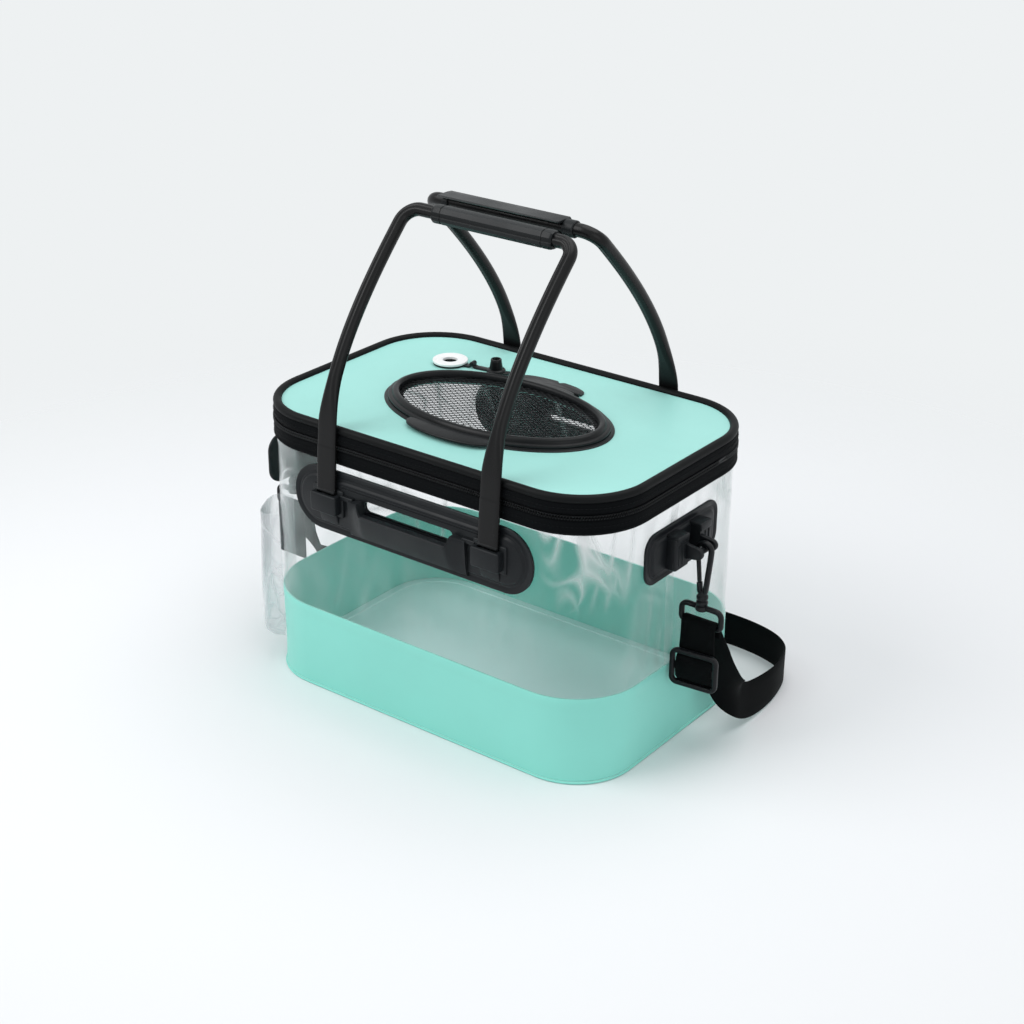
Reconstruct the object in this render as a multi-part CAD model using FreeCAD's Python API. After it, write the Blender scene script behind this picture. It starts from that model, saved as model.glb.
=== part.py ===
"""Folding bucket with a soft clear tub, a zipped lid, two carrying handles and a shoulder strap.

Millimetres, +Z up. The front long side faces -Y, the strap's adjuster hangs on the +X side.
The origin is the middle of the foot, on the floor.
"""
import FreeCAD, Part
import math
import os

V = FreeCAD.Vector
X_AXIS = V(1, 0, 0)
Y_AXIS = V(0, 1, 0)
Z_AXIS = V(0, 0, 1)
QUARTER_TURN = 90.0
HALF_TURN = 180.0

# Fits shared by mating pieces
cut_overrun = 1.0
seat_gap = 0.3
running_gap = 0.08

# Tub: foot, coloured band, clear wall
rim_length = 350.0
rim_width = 232.0
rim_corner = 61.5
foot_inset = 4.0
foot_corner = 52.0
floor_thickness = 2.0
bead_width = 1.2
band_height = 75.0
band_thickness = 1.6
wall_height = 137.0
wall_thickness = 1.0
wall_inset = 1.5

# Zipper band and lid
tape_thickness = 2.4
lower_tape_height = 12.0
upper_tape_height = 10.0
coil_height = 1.85
coil_depth = 2.0
coil_proud = 0.6
lid_drop = 1.5
panel_thickness = 2.5
piping_radius = 3.5
hinge_cord_radius = 1.2
hinge_cord_length = 130.0

# Oval hatch in the lid
hatch_center_y = -7.0
hatch_half_length = 91.0
hatch_half_width = 51.0
seat_land = 13.0
seat_lap = 3.0
seat_height = 2.0
mesh_lap = 6.0
mesh_thickness = 0.8
frame_land = 10.0
frame_height = 5.0
frame_fillet = 2.0
tab_half_length = 42.0
tab_reach = 14.0
tab_thickness = 2.6
knuckle_radius = 1.7
knuckle_length = 66.0
hinge_tab_reach = 14.0
mesh_cell_length = 11.0
mesh_cell_width = 8.0
mesh_strand = 1.5

# Air port, its plug and tether
port_end_margin = 77.0
port_rear_margin = 60.5
port_bore = 12.4
washer_diameter = 30.0
washer_thickness = 2.4
sleeve_wall = 1.6
sleeve_drop = 4.0
plug_spacing = 44.0
plug_turn_deg = 9.0
plug_clearance = 0.4
plug_height = 12.0
plug_taper = 1.6
plug_wall = 1.2
plug_collar_diameter = 16.0
plug_collar_height = 3.0
tether_width = 6.5
tether_thickness = 1.6
tether_tail = 5.0
tether_knuckle_radius = 2.3
tether_lift = 2.0

# Welded plates on the long sides
plate_length = 236.0
plate_height = 54.0
plate_drop = 5.5
plate_thickness = 2.2
plate_border = 6.0
plate_raise = 1.6
slot_length = 88.0
slot_height = 9.5
slot_drop = 16.5
bar_length = 116.0
bar_height = 24.0
bar_reach = 9.0
bar_skin = 3.0
bar_cheek = 8.0
bar_foot = 3.5

# Handles
leg_spacing = 160.0
hinge_drop = 16.5
hinge_stand = 4.6
barrel_radius = 2.2
strap_width = 18.0
strap_thickness = 3.0
knee_rise = 50.0
knee_lean = 3.4
knee_pull = 57.0
bow_pull = 40.0
neck_share = 0.12
elbow_share = 0.25
neck_width = 14.0
neck_thickness = 4.4
tube_radius = 5.4
wide_bend = 14.0
tight_bend = 12.0
grip_shift = 5.0
front_grip_y = -18.0
front_grip_rise = 155.5
rear_grip_y = 8.0
rear_grip_rise = 157.5
bridge_margin = 4.0
bridge_height = 16.0
bridge_reach = 8.5
bridge_lip_drop = 1.9
wedge_height = 11.0
wedge_reach = 3.2
front_grip_length = 114.0
front_grip_depth = 14.6
front_grip_height = 14.6
front_grip_fillet = 4.0
rear_grip_length = 116.0
rear_grip_wall = 2.2
rear_grip_height = 14.6
rear_grip_lip = 12.0
rear_grip_fillet = 1.2

# Side patches with their hook bars
patch_width = 100.0
patch_height = 42.0
patch_corner = 13.0
patch_drop = 14.0
patch_thickness = 2.0
patch_border = 6.0
patch_raise = 1.6
right_patch_y = -5.0
left_patch_y = -38.0
box_width = 50.0
box_height = 26.0
box_reach = 9.0
box_fillet = 2.0
cheek_width = 4.0
cheek_height = 15.0
hook_bar_reach = 22.0
hook_bar_radius = 2.5
hook_bar_length = 16.0
hook_bar_drop = 21.0

# Snap hooks, swivel loops and the strap adjuster
hook_wire = 4.2
hook_depth = 4.4
hook_top_radius = 8.0
hook_foot_radius = 4.6
hook_length = 46.0
gate_radius = 1.7
gate_cut_gap = 0.45
gate_foot_share = 0.25
gate_head_share = 0.74
gate_swing_deg = 20.0
gate_room_steps = 5
collar_radius = 4.6
collar_height = 12.0
stem_radius = 1.6
stem_length = 9.0
loop_width = 39.0
loop_height = 19.0
loop_slot_width = 32.0
loop_slot_height = 10.0
loop_corner = 5.0
loop_foot = 4.5
adjuster_width = 41.0
adjuster_height = 32.0
adjuster_thickness = 4.0
adjuster_frame = 4.5
adjuster_bar = 7.0
adjuster_corner = 6.0
adjuster_drop = 49.0

# Shoulder strap: flat webbing from loop to loop round the back
webbing_width = 30.0
webbing_thickness = 1.6
floor_gap = 0.2
strap_tail = 52.0
fold_radius = 4.2
fall_bend = 28.0
floor_run_end_y = 62.0
twist_end_y = 108.0
twist_steps = 5
back_bend = 52.0

# Clear pocket on the left side
pocket_depth = 20.0
pocket_corner_margin = 18.0
pocket_width = 36.0
pocket_bottom = 25.0
pocket_height = 113.0
pocket_skin = 0.8

# Zipper sliders with their pulls
slider_length = 12.0
slider_height = 9.0
slider_reach = 4.0
slider_fillet = 1.0
slider_spacing = 20.0
slider_middle_y = 24.0
pull_width = 6.0
pull_length = 17.0
pull_thickness = 1.4
pull_pin_radius = 1.1

# Heights worked out from the sizes above
tape_z = band_height + wall_height
lower_coil_z = tape_z + lower_tape_height
upper_coil_z = lower_coil_z + coil_height + seat_gap
upper_tape_z = upper_coil_z + coil_height
lid_top = upper_tape_z + upper_tape_height + lid_drop
lid_hinge_z = lower_coil_z + coil_height + seat_gap / 2
lid_hinge_y = rim_width / 2 + coil_proud + hinge_cord_radius + seat_gap
plate_top = tape_z - plate_drop
handle_hinge_z = plate_top - hinge_drop
hook_bar_z = tape_z - patch_drop - hook_bar_drop
front_grip_z = lid_top + front_grip_rise
rear_grip_z = lid_top + rear_grip_rise

# Distances of the outer faces from the middle
front_face = rim_width / 2 - wall_inset
side_face = rim_length / 2 - wall_inset
plate_face = front_face + seat_gap
patch_face = side_face + seat_gap
plate_front = plate_face + plate_thickness + plate_raise
handle_hinge_y = -(plate_face + plate_thickness + hinge_stand)
hook_bar_out = patch_face + hook_bar_reach
pocket_front_y = pocket_corner_margin - rim_width / 2
pocket_back_y = pocket_front_y + pocket_width


def rounded_wire(length, width, radius, z):
    """Closed rounded rectangle about the Z axis."""
    x, y = length / 2, width / 2
    edges = []
    corners = ((1, 1), (-1, 1), (-1, -1), (1, -1))
    for index, (sx, sy) in enumerate(corners):
        center = V(sx * (x - radius), sy * (y - radius), z)
        start = QUARTER_TURN * index
        edges.append(Part.makeCircle(radius, center, Z_AXIS, start, start + QUARTER_TURN))
    wire_edges = []
    for index, arc in enumerate(edges):
        following = edges[(index + 1) % len(edges)]
        wire_edges.append(arc)
        wire_edges.append(Part.makeLine(arc.Vertexes[-1].Point, following.Vertexes[0].Point))
    return Part.Wire(wire_edges)


def rounded_prism(length, width, radius, z, height):
    """Upright rounded block about the Z axis."""
    return Part.Face(rounded_wire(length, width, radius, z)).extrude(V(0, 0, height))


def rim_prism(outset, z, height):
    """Upright block that follows the rim's outline, outset from it on every side."""
    return rounded_prism(rim_length + 2 * outset, rim_width + 2 * outset, rim_corner + outset, z, height)


def rim_ring(outset, thickness, z, height):
    """Upright band that follows the rim's outline, with its outer face outset from it."""
    inner = rim_prism(outset - thickness, z - cut_overrun, height + 2 * cut_overrun)
    return rim_prism(outset, z, height).cut(inner)


def oval_prism(half_length, half_width, z, height):
    """Upright oval block round the hatch's middle."""
    oval = Part.Ellipse(V(0, hatch_center_y, z), half_length, half_width)
    return Part.Face(Part.Wire(oval.toShape())).extrude(V(0, 0, height))


def oval_ring(outset, inset, z, height):
    """Oval ring round the hatch opening, from outset outside it to inset inside it."""
    outer = oval_prism(hatch_half_length + outset, hatch_half_width + outset, z, height)
    hole_z, hole_height = z - cut_overrun, height + 2 * cut_overrun
    return outer.cut(oval_prism(hatch_half_length - inset, hatch_half_width - inset, hole_z, hole_height))


def front_block(x0, x1, z0, z1, inner, outer):
    """Box on the -Y side, from the distance inner to the distance outer before the middle."""
    return Part.makeBox(x1 - x0, outer - inner, z1 - z0, V(x0, -outer, z0))


def front_rounded(width, height, radius, center_z, inner, depth):
    """Upright rounded plate on the -Y side that starts at the distance inner."""
    plate = Part.Face(rounded_wire(width, height, radius, 0)).extrude(V(0, 0, depth))
    plate.rotate(V(0, 0, 0), X_AXIS, QUARTER_TURN)
    plate.translate(V(0, -inner, center_z))
    return plate


def rod_x(length, radius, y, z, x=0.0):
    """Round bar along X, centred on x."""
    return Part.makeCylinder(radius, length, V(x - length / 2, y, z), X_AXIS)


def turned(shape, angle):
    """Copy of a shape turned about the Z axis."""
    copy = shape.copy()
    copy.rotate(V(0, 0, 0), Z_AXIS, angle)
    return copy


def to_right(shape, offset_y):
    """Copy of a piece made on the -Y side, set on the right side at the place offset_y."""
    copy = turned(shape, QUARTER_TURN)
    copy.translate(V(0, offset_y, 0))
    return copy


def to_left(shape, offset_y):
    """Copy of a piece made on the -Y side, set on the left side at the place offset_y."""
    copy = turned(shape, -QUARTER_TURN)
    copy.translate(V(0, offset_y, 0))
    return copy


def fuse_all(shapes):
    """One clean solid from shapes that touch or overlap."""
    return shapes[0].multiFuse(shapes[1:]).removeSplitter()


def outline_loft(lower_outset, lower_corner, lower_z, upper_outset, upper_corner, upper_z):
    """Ruled body between two rounded outlines at different heights."""
    lower = rounded_wire(rim_length + 2 * lower_outset, rim_width + 2 * lower_outset, lower_corner, lower_z)
    upper = rounded_wire(rim_length + 2 * upper_outset, rim_width + 2 * upper_outset, upper_corner, upper_z)
    return Part.makeLoft([lower, upper], True, True)


def tub_floor():
    """Welded bottom sheet."""
    length, width = rim_length - 2 * foot_inset, rim_width - 2 * foot_inset
    return rounded_prism(length, width, foot_corner, 0, floor_thickness)


def floor_bead():
    """Weld bead round the edge of the bottom sheet."""
    length = rim_length - 2 * foot_inset + 2 * bead_width
    width = rim_width - 2 * foot_inset + 2 * bead_width
    return rounded_prism(length, width, foot_corner + bead_width, 0, floor_thickness).cut(tub_floor())


def tub_band():
    """Coloured lower band, flaring a little from the foot to the clear wall."""
    top_corner = rim_corner - wall_inset
    outer = outline_loft(-foot_inset, foot_corner, floor_thickness, -wall_inset, top_corner, band_height)
    inner = outline_loft(-foot_inset - band_thickness, foot_corner - band_thickness, floor_thickness,
                         -wall_inset - band_thickness, top_corner - band_thickness, band_height)
    return outer.cut(inner)


def clear_wall():
    """Clear sheet between the coloured band and the zipper."""
    return rim_ring(-wall_inset, wall_thickness, band_height, wall_height)


def lower_tape():
    """Zipper tape sewn to the clear wall's upper edge."""
    return rim_ring(0, tape_thickness, tape_z, lower_tape_height)


def lower_coil():
    """Lower half of the zipper's coil."""
    return rim_ring(coil_proud, coil_depth, lower_coil_z, coil_height)


def upper_coil():
    """Upper half of the zipper's coil."""
    return rim_ring(coil_proud, coil_depth, upper_coil_z, coil_height)


def lid_hinge_cord():
    """Rolled hem at the back that the lid turns on."""
    return rod_x(hinge_cord_length, hinge_cord_radius, lid_hinge_y, lid_hinge_z)


def lid_piping():
    """Round piping along the lid's edge."""
    path = rounded_wire(rim_length - 2 * piping_radius, rim_width - 2 * piping_radius,
                        rim_corner - piping_radius, lid_top)
    start = path.Vertexes[0].Point
    tangent = path.Edges[0].tangentAt(path.Edges[0].FirstParameter)
    section = Part.Wire(Part.makeCircle(piping_radius, start, tangent))
    return path.makePipeShell([section], True, False)


def upper_tape():
    """Zipper tape that hangs from the lid's edge."""
    height = lid_top - upper_tape_z
    return rim_ring(0, tape_thickness, upper_tape_z, height).cut(lid_piping())


def lid_panel():
    """Coloured lid sheet with the hatch opening and the port hole."""
    panel = rim_prism(-piping_radius, lid_top - panel_thickness, panel_thickness).cut(lid_piping())
    cut_z, cut_height = lid_top - panel_thickness - cut_overrun, panel_thickness + 2 * cut_overrun
    panel = panel.cut(oval_prism(hatch_half_length, hatch_half_width, cut_z, cut_height))
    hole_radius = port_bore / 2 + sleeve_wall + seat_gap
    return panel.cut(Part.makeCylinder(hole_radius, cut_height, V(port_x, port_y, cut_z)))


hatch_z = lid_top + seat_height + seat_gap
hatch_hinge_y = hatch_center_y + hatch_half_width + seat_land + knuckle_radius
hatch_hinge_z = lid_top + seat_gap + knuckle_radius


def hatch_seat():
    """Flat oval flange welded round the hatch opening."""
    return oval_ring(seat_land, seat_lap, lid_top, seat_height)


def hatch_hinge_tab():
    """Tongue on the lid behind the hatch that carries its fold."""
    start = hatch_hinge_y + knuckle_radius + seat_gap
    corner = V(-knuckle_length / 2, start, lid_top)
    tab = Part.makeBox(knuckle_length, hinge_tab_reach, knuckle_radius, corner)
    upright = [edge for edge in tab.Edges if edge.BoundBox.ZLength > knuckle_radius / 2]
    upright = [edge for edge in upright if edge.BoundBox.XLength < seat_gap]
    rear = [edge for edge in upright if edge.BoundBox.YMin > start + seat_gap]
    return tab.makeFillet(hinge_tab_reach - seat_gap, rear)


def pull_tongue():
    """Half-oval tongue in front of the hatch frame, to lift it by."""
    reach = frame_land + tab_reach
    oval = Part.Ellipse(V(0, hatch_center_y - hatch_half_width, hatch_z), tab_half_length, reach)
    tongue = Part.Face(Part.Wire(oval.toShape())).extrude(V(0, 0, tab_thickness))
    return tongue.cut(frame_core())


def frame_core():
    """Everything inside the hatch frame's outer flank, as far as its tongues reach into it."""
    reach = frame_land - cut_overrun
    return oval_prism(hatch_half_length + reach, hatch_half_width + reach, hatch_z - cut_overrun,
                      tab_thickness + 2 * cut_overrun)


def hatch_frame():
    """Raised oval ring with its pull tongue and the round knuckle of its fold."""
    ring = oval_ring(frame_land, 0, hatch_z + mesh_thickness, frame_height)
    top = hatch_z + mesh_thickness + frame_height
    ring = ring.makeFillet(frame_fillet, [edge for edge in ring.Edges if edge.BoundBox.ZMin > top - seat_gap])
    land = oval_ring(frame_land, -mesh_lap - seat_gap, hatch_z, mesh_thickness)
    knuckle = rod_x(knuckle_length, knuckle_radius, hatch_hinge_y, hatch_hinge_z)
    web = Part.makeBox(knuckle_length, hatch_hinge_y - hatch_center_y, tab_thickness,
                       V(-knuckle_length / 2, hatch_center_y, hatch_z)).cut(frame_core())
    return fuse_all([ring, land, pull_tongue(), web, knuckle])


def hatch_mesh():
    """Flat net under the frame, one holed face made thick."""
    half_length, half_width = hatch_half_length + mesh_lap, hatch_half_width + mesh_lap
    outline = Part.Wire(Part.Ellipse(V(0, hatch_center_y, hatch_z), half_length, half_width).toShape())
    reach_x, reach_y = hatch_half_length - mesh_strand, hatch_half_width - mesh_strand
    half_x, half_y = (mesh_cell_length - mesh_strand) / 2, (mesh_cell_width - mesh_strand) / 2
    gaps = []
    rows = int(hatch_half_width / (mesh_cell_width / 2))
    columns = int(hatch_half_length / mesh_cell_length) + 1
    for row in range(-rows, rows + 1):
        y = row * mesh_cell_width / 2
        shift = (row % 2) * mesh_cell_length / 2
        for column in range(-columns, columns + 1):
            x = column * mesh_cell_length + shift
            far_x, far_y = abs(x) + half_x, abs(y) + half_y
            inside = (far_x / reach_x) ** 2 + (abs(y) / reach_y) ** 2 < 1
            inside = inside and (abs(x) / reach_x) ** 2 + (far_y / reach_y) ** 2 < 1
            if inside:
                corners = [V(x + half_x, y, 0), V(x, y + half_y, 0), V(x - half_x, y, 0), V(x, y - half_y, 0)]
                base = V(0, hatch_center_y, hatch_z)
                gaps.append(Part.makePolygon([corner + base for corner in corners + corners[:1]]))
    print("hatch mesh gaps", len(gaps))
    return Part.makeFace([outline] + gaps, "Part::FaceMakerBullseye").extrude(V(0, 0, mesh_thickness))


port_x = -(rim_length / 2 - port_end_margin)
port_y = rim_width / 2 - port_rear_margin
plug_direction = V(math.cos(math.radians(plug_turn_deg)), math.sin(math.radians(plug_turn_deg)), 0)
port_base = V(port_x, port_y, lid_top)
plug_base = port_base + plug_direction * plug_spacing
plug_axis_point = port_base + plug_direction * (plug_spacing / 2) + V(0, 0, tether_thickness + tether_lift)


def tether_strip(start, end):
    """Flat strip on the lid between two distances from the port along the tether."""
    strip = Part.makeBox(end - start, tether_width, tether_thickness, V(start, -tether_width / 2, 0))
    strip.rotate(V(0, 0, 0), Z_AXIS, plug_turn_deg)
    strip.translate(port_base)
    return strip


def air_port():
    """White grommet: a washer on the lid and a sleeve through it."""
    washer_z = lid_top + tether_thickness
    washer = Part.makeCylinder(washer_diameter / 2, washer_thickness, V(port_x, port_y, washer_z))
    sleeve_bottom = lid_top - panel_thickness - sleeve_drop
    sleeve = Part.makeCylinder(port_bore / 2 + sleeve_wall, washer_z - sleeve_bottom,
                               V(port_x, port_y, sleeve_bottom))
    height = washer_z + washer_thickness - sleeve_bottom + 2 * cut_overrun
    bore = Part.makeCylinder(port_bore / 2, height, V(port_x, port_y, sleeve_bottom - cut_overrun))
    return washer.fuse(sleeve).cut(bore).removeSplitter()


def plug_tether():
    """Rubber ring under the washer with the fixed half of the tether."""
    ring = Part.makeCylinder(washer_diameter / 2, tether_thickness, port_base)
    strip = tether_strip(0, plug_spacing / 2 - tether_knuckle_radius - seat_gap)
    hole_radius = port_bore / 2 + sleeve_wall + running_gap
    hole_height = tether_thickness + 2 * cut_overrun
    hole = Part.makeCylinder(hole_radius, hole_height, port_base - V(0, 0, cut_overrun))
    return ring.fuse(strip).cut(hole).removeSplitter()


def port_plug():
    """Hollow rubber plug on the loose half of the tether, with a pull tail."""
    strip = tether_strip(plug_spacing / 2, plug_spacing + plug_collar_diameter / 2 + tether_tail)
    across = Z_AXIS.cross(plug_direction)
    knuckle = Part.makeCylinder(tether_knuckle_radius, tether_width,
                                plug_axis_point - across * (tether_width / 2), across)
    collar = Part.makeCylinder(plug_collar_diameter / 2, plug_collar_height, plug_base)
    radius = port_bore / 2 - plug_clearance
    tip_radius = radius - plug_taper
    stem = Part.makeCone(radius, tip_radius, plug_height, plug_base)
    hollow = Part.makeCylinder(tip_radius - plug_wall, plug_height, plug_base + V(0, 0, plug_collar_height))
    return fuse_all([strip, knuckle, collar, stem]).cut(hollow)


def long_side_plate():
    """Welded plate of a long side: flange, raised field, grab bar and strap bridges."""
    middle_z = plate_top - plate_height / 2
    inner_length, inner_height = plate_length - 2 * plate_border, plate_height - 2 * plate_border
    flange = front_rounded(plate_length, plate_height, plate_height / 2 - seat_gap, middle_z, plate_face,
                           plate_thickness)
    field = front_rounded(inner_length, inner_height, inner_height / 2 - seat_gap, middle_z,
                          plate_face + plate_thickness, plate_raise)
    slot_top = plate_top - slot_drop
    slot_bottom = slot_top - slot_height
    bar_bottom = slot_bottom - bar_height
    bar = front_block(-bar_length / 2, bar_length / 2, bar_bottom, slot_bottom, plate_face + plate_thickness,
                      plate_front + bar_reach)
    bar = bar.makeFillet(bar_skin / 2, [edge for edge in bar.Edges if edge.BoundBox.YMax < -plate_front])
    room_half = bar_length / 2 - bar_cheek
    finger_room = front_block(-room_half, room_half, bar_bottom + bar_foot, slot_bottom + cut_overrun,
                              plate_front, plate_front + bar_reach - bar_skin)
    slot = front_rounded(slot_length, slot_height, slot_height / 2 - seat_gap, slot_bottom + slot_height / 2,
                         plate_face - cut_overrun, plate_front - plate_face + 2 * cut_overrun)
    pieces = [flange, field, bar]
    for side in (-1, 1):
        pieces += strap_bridge(side * leg_spacing / 2)
    plate = fuse_all(pieces).cut(finger_room).cut(slot)
    for side in (-1, 1):
        groove = rod_x(strap_width + 4 * bridge_margin, barrel_radius + running_gap, handle_hinge_y,
                       handle_hinge_z, side * leg_spacing / 2)
        plate = plate.cut(groove)
    return plate.removeSplitter()


def strap_bridge(middle_x):
    """Moulded block that holds a handle strap's end, with the wedge below it."""
    half = strap_width / 2 + bridge_margin
    top = handle_hinge_z - bridge_lip_drop
    inner = plate_face + plate_thickness
    block = front_block(middle_x - half, middle_x + half, top - bridge_height, top, inner,
                        plate_front + bridge_reach)
    half_wedge = strap_width / 2
    wedge_top = top - bridge_height
    wedge_points = [V(middle_x - half_wedge, -inner, wedge_top),
                    V(middle_x - half_wedge, -plate_front - wedge_reach, wedge_top),
                    V(middle_x - half_wedge, -inner, wedge_top - wedge_height)]
    wedge_face = Part.Face(Part.makePolygon(wedge_points + wedge_points[:1]))
    return [block, wedge_face.extrude(V(2 * half_wedge, 0, 0))]


def leg_rectangle(center, across, thick, width, thickness):
    """Rectangular wire about a point, for the sections of a handle strap."""
    a, b = across * (width / 2), thick * (thickness / 2)
    corners = [center - a - b, center + a - b, center + a + b, center - a + b]
    return Part.makePolygon(corners + corners[:1])


def handle_leg(side, grip_y, grip_z, bend):
    """Foot, knee and curved upper leg of a handle on one side, and the direction in which its bow leans."""
    x = side * leg_spacing / 2
    foot = V(x, handle_hinge_y, handle_hinge_z)
    upright = V(0, knee_lean, knee_rise).normalize()
    corner = foot + upright * (knee_rise + knee_pull)
    crown = V(x, grip_y, grip_z)
    direction = (crown - corner).normalize()
    top = crown - direction * bend
    curve = Part.BezierCurve()
    curve.setPoles([foot + upright * knee_rise, corner, top - direction * bow_pull, top])
    return foot, curve, direction


def leg_section(curve, share, width, thickness):
    """Rectangular section of a handle's leg at a share of its curve."""
    normal = X_AXIS.cross(curve.tangent(share)[0])
    return leg_rectangle(curve.value(share), X_AXIS, normal, width, thickness)


def handle_straps(grip_y, grip_z):
    """The two flat strap ends of a handle, each with the round barrel that it turns on."""
    core = tube_radius * math.sqrt(2)
    straps = []
    for side, bend in ((-1, wide_bend), (1, tight_bend)):
        foot, curve, _ = handle_leg(side, grip_y, grip_z, bend)
        flat_normal = X_AXIS.cross(curve.tangent(0)[0])
        sections = [leg_rectangle(foot, X_AXIS, flat_normal, strap_width, strap_thickness),
                    leg_section(curve, 0, strap_width, strap_thickness),
                    leg_section(curve, neck_share, neck_width, neck_thickness),
                    leg_section(curve, elbow_share, core, core)]
        strap = Part.makeLoft(sections, True, True)
        straps.append(strap.fuse(rod_x(strap_width, barrel_radius, foot.y, foot.z, foot.x)))
    return Part.makeCompound([strap.removeSplitter() for strap in straps])


def handle_tube(grip_y, grip_z):
    """Round bow of a handle from elbow to elbow, bent wider at its left end than at its right end."""
    legs, arcs, crowns = [], [], []
    for side, bend in ((-1, wide_bend), (1, tight_bend)):
        _, curve, direction = handle_leg(side, grip_y, grip_z, bend)
        curve.segment(elbow_share, 1)
        top = curve.getPole(4)
        center = top - X_AXIS * (side * bend)
        half = bend * math.sqrt(0.5)
        crowns.append(center + direction * bend)
        arcs.append(Part.Arc(top, center + X_AXIS * (side * half) + direction * half, crowns[-1]).toShape())
        legs.append(curve)
    left, right = (curve.toShape() for curve in legs)
    path = Part.Wire([left, arcs[0], Part.makeLine(crowns[0], crowns[1]), arcs[1], right])
    start = legs[0].getPole(1)
    section = Part.Wire(Part.makeCircle(tube_radius, start, legs[0].getPole(2) - start))
    return path.makePipeShell([section], True, False)


def front_grip():
    """Moulded sleeve on the front handle."""
    block = Part.makeBox(front_grip_length, front_grip_depth, front_grip_height,
                         V(grip_shift - front_grip_length / 2, front_grip_y - front_grip_depth / 2,
                           front_grip_z - front_grip_height / 2))
    long_edges = [edge for edge in block.Edges if edge.BoundBox.XLength > front_grip_length / 2]
    block = block.makeFillet(front_grip_fillet, long_edges)
    bore_length = front_grip_length + 2 * cut_overrun
    return block.cut(rod_x(bore_length, tube_radius + running_gap, front_grip_y, front_grip_z, grip_shift))


def rear_grip():
    """Moulded clip on the rear handle, open to the front, that snaps over the front grip."""
    outer_half = tube_radius + running_gap + rear_grip_wall
    back = rear_grip_y + outer_half
    low, high = rear_grip_z - rear_grip_height / 2, rear_grip_z + rear_grip_height / 2
    start = -grip_shift - rear_grip_length / 2
    core = Part.makeBox(rear_grip_length, 2 * outer_half, rear_grip_height,
                        V(start, rear_grip_y - outer_half, low))
    lip = Part.makeBox(rear_grip_length, outer_half + rear_grip_lip, rear_grip_wall,
                       V(start, rear_grip_y - rear_grip_lip, high - rear_grip_wall))
    clip = core.fuse(lip).removeSplitter()
    long_edges = [edge for edge in clip.Edges if edge.BoundBox.XLength > rear_grip_length / 2]
    rear_edges = [edge for edge in long_edges if edge.BoundBox.YMin > back - seat_gap]
    clip = clip.makeFillet(rear_grip_fillet, rear_edges)
    bore_length = rear_grip_length + 2 * cut_overrun
    return clip.cut(rod_x(bore_length, tube_radius + running_gap, rear_grip_y, rear_grip_z, -grip_shift))


def side_patch():
    """Welded patch of a short side with its moulded box, cheeks and hook bar, made facing -Y."""
    top = tape_z - patch_drop
    middle_z = top - patch_height / 2
    flange = front_rounded(patch_width, patch_height, patch_corner, middle_z, patch_face, patch_thickness)
    field_face = patch_face + patch_thickness
    field = front_rounded(patch_width - 2 * patch_border, patch_height - 2 * patch_border,
                          patch_corner - patch_border / 2, middle_z, field_face, patch_raise)
    box = front_block(-box_width / 2, box_width / 2, middle_z - box_height / 2, middle_z + box_height / 2,
                      field_face, field_face + patch_raise + box_reach)
    outer_edges = [edge for edge in box.Edges if edge.BoundBox.YMax < -field_face - box_reach]
    box = box.makeFillet(box_fillet, outer_edges)
    pieces = [flange, field, box]
    for side in (-1, 1):
        middle = side * (hook_bar_length + cheek_width) / 2
        low, high = hook_bar_z - cheek_height / 2, hook_bar_z + cheek_height / 2
        pieces.append(front_block(middle - cheek_width / 2, middle + cheek_width / 2, low, high, field_face,
                                  hook_bar_out + 2 * hook_bar_radius))
    hook_room = front_block(-hook_bar_length / 2, hook_bar_length / 2, middle_z - box_height,
                            middle_z + box_height, field_face + patch_raise,
                            hook_bar_out + 3 * hook_bar_radius)
    bar = rod_x(hook_bar_length + cheek_width, hook_bar_radius, -hook_bar_out, hook_bar_z)
    return fuse_all([fuse_all(pieces).cut(hook_room), bar])


hook_top_z = hook_bar_z + hook_bar_radius + seat_gap + hook_wire - hook_top_radius
hook_foot_z = hook_top_z + hook_top_radius - hook_length + hook_foot_radius
collar_z = hook_foot_z - collar_height
loop_top = collar_z - seat_gap
loop_foot_z = loop_top - loop_height + loop_foot / 2


def hull_disc(z_a, radius_a, z_b, radius_b, y_a, y_b, depth):
    """Plate across X whose outline runs round two circles, for hooks and gates."""
    run = V(0, y_b - y_a, z_b - z_a)
    along = V(run).normalize()
    across = X_AXIS.cross(along)
    lean = (radius_a - radius_b) / run.Length
    spread = math.sqrt(1 - lean * lean)
    a, b = V(-depth / 2, y_a, z_a), V(-depth / 2, y_b, z_b)
    edge_up = along * lean + across * spread
    edge_down = along * lean - across * spread
    first = Part.Arc(a + edge_up * radius_a, a - along * radius_a, a + edge_down * radius_a).toShape()
    second = Part.Arc(b + edge_down * radius_b, b + along * radius_b, b + edge_up * radius_b).toShape()
    sides = [Part.makeLine(a + edge_down * radius_a, b + edge_down * radius_b),
             Part.makeLine(b + edge_up * radius_b, a + edge_up * radius_a)]
    return Part.Face(Part.Wire([first, sides[0], second, sides[1]])).extrude(V(depth, 0, 0))


def gate_point(share):
    """Place on the middle of the hook's wall-side leg, as a share of its length."""
    y_foot = -hook_bar_out + hook_foot_radius - hook_wire / 2
    y_head = -hook_bar_out + hook_top_radius - hook_wire / 2
    return y_foot + (y_head - y_foot) * share, hook_foot_z + (hook_top_z - hook_foot_z) * share


def hook_gate(radius, depth):
    """Sprung gate that closes the hook, with the radius of its rounded ends."""
    foot_y, foot_z = gate_point(gate_foot_share)
    head_y, head_z = gate_point(gate_head_share)
    return hull_disc(foot_z, radius, head_z, radius, foot_y, head_y, depth)


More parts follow.
